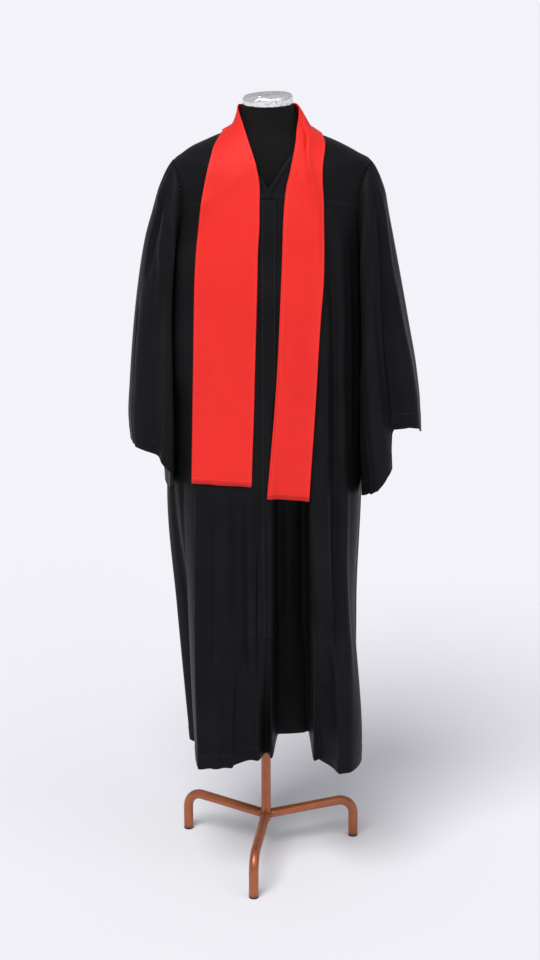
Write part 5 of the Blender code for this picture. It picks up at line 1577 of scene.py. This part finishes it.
def stitch_tree():
    tree = bpy.data.node_groups.new("row_of_stitches", "GeometryNodeTree")
    face = tree.interface
    face.new_socket(name="Lines", in_out="INPUT", socket_type="NodeSocketGeometry")
    for name in ("Stitch pitch", "Stitch half length", "Thread radius"):
        face.new_socket(name=name, in_out="INPUT", socket_type="NodeSocketFloat")
    face.new_socket(name="Thread", in_out="INPUT", socket_type="NodeSocketMaterial")
    face.new_socket(name="Stitches", in_out="OUTPUT", socket_type="NodeSocketGeometry")
    given = add(tree, "NodeGroupInput")
    curve = add(tree, "GeometryNodeMeshToCurve", {}, {"Mesh": given.outputs["Lines"]})
    places = add(tree, "GeometryNodeCurveToPoints", {"mode": "LENGTH"},
                 {"Curve": curve.outputs["Curve"], "Length": given.outputs["Stitch pitch"]})
    bead = add(tree, "GeometryNodeMeshUVSphere", {"Segments": 8, "Rings": 5, "Radius": 1.0})
    uneven = add(tree, "FunctionNodeRandomValue",
                 {"data_type": "FLOAT", 2: 0.88, 3: 1.06, "Seed": 7})
    half = add(tree, "ShaderNodeMath", {"operation": "MULTIPLY"},
               {0: given.outputs["Stitch half length"], 1: uneven.outputs[1]})
    size = add(tree, "ShaderNodeCombineXYZ", {}, {
        "X": given.outputs["Thread radius"], "Y": given.outputs["Thread radius"],
        "Z": half.outputs[0]})
    copies = add(tree, "GeometryNodeInstanceOnPoints", {}, {
        "Points": places.outputs["Points"], "Instance": bead.outputs["Mesh"],
        "Rotation": places.outputs["Rotation"], "Scale": size.outputs["Vector"]})
    real = add(tree, "GeometryNodeRealizeInstances", {}, {"Geometry": copies.outputs["Instances"]})
    painted = add(tree, "GeometryNodeSetMaterial", {}, {
        "Geometry": real.outputs["Geometry"], "Material": given.outputs["Thread"]})
    add(tree, "NodeGroupOutput", {}, {"Stitches": painted.outputs["Geometry"]})
    return tree


STITCH_TREE = stitch_tree()
STITCH_PITCH = 0.0045
STITCH_HALF = 0.0016
THREAD_RADIUS = 0.00032


def sew(name, lines, thread, slot):
    """Plain mesh of stitches along lines of points; each line may be closed on itself."""
    points = []
    edges = []
    for line, closed in lines:
        start = len(points)
        points += (np.asarray(line) + FRAME_SHIFT).tolist()
        edges += [(start + k, start + k + 1) for k in range(len(line) - 1)]
        if closed:
            edges.append((start + len(line) - 1, start))
    mesh = bpy.data.meshes.new(name + "_lines")
    mesh.from_pydata(points, edges, [])
    guide = in_scene(name + "_lines", mesh)
    modifier = guide.modifiers.new("stitches", "NODES")
    modifier.node_group = STITCH_TREE
    values = {"Stitch pitch": STITCH_PITCH, "Stitch half length": STITCH_HALF,
              "Thread radius": THREAD_RADIUS, "Thread": thread}
    for item in STITCH_TREE.interface.items_tree:
        if item.in_out == "INPUT" and item.name in values:
            modifier[item.identifier] = values[item.name]
    seen = guide.evaluated_get(bpy.context.evaluated_depsgraph_get())
    sewn = bpy.data.meshes.new_from_object(seen)
    guide.modifiers.remove(modifier)
    bpy.data.objects.remove(guide)
    sewn.name = name
    on_frame(in_scene(name, sewn), slot)
    print(name, len(sewn.polygons), "faces")


# %% Lines that are sewn
EDGE_ROWS = 40
EDGE_COLUMNS = 14
THREAD_SUNK = 0.4


def seam_line(key, distance, edge):
    """Line on a piece of cloth, at a distance from its bottom, top, first or last edge."""
    outer, face = GRIDS[key]["outer"], GRIDS[key]["face"]
    if edge == "top":
        outer, face = outer[::-1], face[::-1]
    if edge == "last":
        outer, face = outer[:, ::-1], face[:, ::-1]
    if edge in ("bottom", "top"):
        outer, face = outer[:EDGE_ROWS].transpose(1, 0, 2), face[:EDGE_ROWS].transpose(1, 0, 2)
    else:
        outer, face = outer[:, :EDGE_COLUMNS], face[:, :EDGE_COLUMNS]
    line, way = strip_inwards(outer, face, np.array([distance]))
    return (line + way * THREAD_RADIUS * THREAD_SUNK)[:, 0], False


gown_lines = []
for key in ("yoke_front_right", "yoke_front_left", "yoke_back"):
    gown_lines += [seam_line(key, distance, "bottom") for distance in (0.003, 0.009)]
for key in ("front_right", "front_left", "back"):
    gown_lines.append(seam_line(key, 0.0315, "bottom"))
for key in ("sleeve_right", "sleeve_left"):
    outer, face = GRIDS[key]["outer"], GRIDS[key]["face"]
    row = int(np.searchsorted(GRIDS[key]["rings"], SLEEVE_HEM_AT))
    gown_lines.append((outer[row] + face[row] * THREAD_RADIUS * THREAD_SUNK, True))
gown_lines += [seam_line("zip_fly", 0.0035, edge) for edge in ("first", "last")]
gown_lines += [seam_line(key, 0.0014, "last") for key in ("neck_band_right", "neck_band_left")]
sew("gown_stitches", gown_lines, black_thread, "gown_cloth")

stole_lines = []
for key in ("stole_right", "stole_left"):
    stole_lines += [seam_line(key, distance, edge)
                    for distance, edge in ((0.0045, "first"), (0.0045, "last"), (0.012, "top"))]
sew("stole_stitches", stole_lines, red_thread, "stole_cloth")

# %% [markdown]

# %% [markdown]
# ## Floor and light
# A photographer's pale paper: one wide floor, so far across that the camera sees nothing else. The
# light is soft and comes from all round, a little stronger from the front left and from above.

# %% Floor and light
FLOOR_HALF = 40.0
floor_mesh = bpy.data.meshes.new("floor")
floor_mesh.from_pydata([(x * FLOOR_HALF, y * FLOOR_HALF, 0.0)
                        for x, y in ((-1, -1), (1, -1), (1, 1), (-1, 1))], [], [(0, 1, 2, 3)])
floor = in_scene("floor", floor_mesh)
paper = new_material("floor_pale_paper", {"Base Color": hex_colour("#e6e6ea"), "Roughness": 0.9,
                                          "Specular IOR Level": 0.1})[0]
floor_mesh.materials.append(paper)

world = bpy.data.worlds.new("studio")
world.use_nodes = True
bpy.context.scene.world = world
sky = world.node_tree.nodes["Background"]
sky.inputs["Color"].default_value = hex_colour("#f4f5fa")
sky.inputs["Strength"].default_value = 0.40


def soft_sun(name, strength, angle, from_azimuth, elevation, colour):
    """A wide sun: azimuth 0 comes from the front, 90 from the picture's right."""
    light = bpy.data.lights.new(name, "SUN")
    light.energy = strength
    light.angle = math.radians(angle)
    light.color = hex_colour(colour)[:3]
    lamp = in_scene(name, light)
    lamp.rotation_euler = (math.radians(90.0 - elevation), 0.0, math.radians(from_azimuth))


soft_sun("key_light", 2.5, 32.0, -24.0, 56.0, "#ffffff")
soft_sun("fill_light", 0.6, 60.0, 40.0, 40.0, "#fbfcff")
bpy.context.scene.view_settings.view_transform = "Standard"
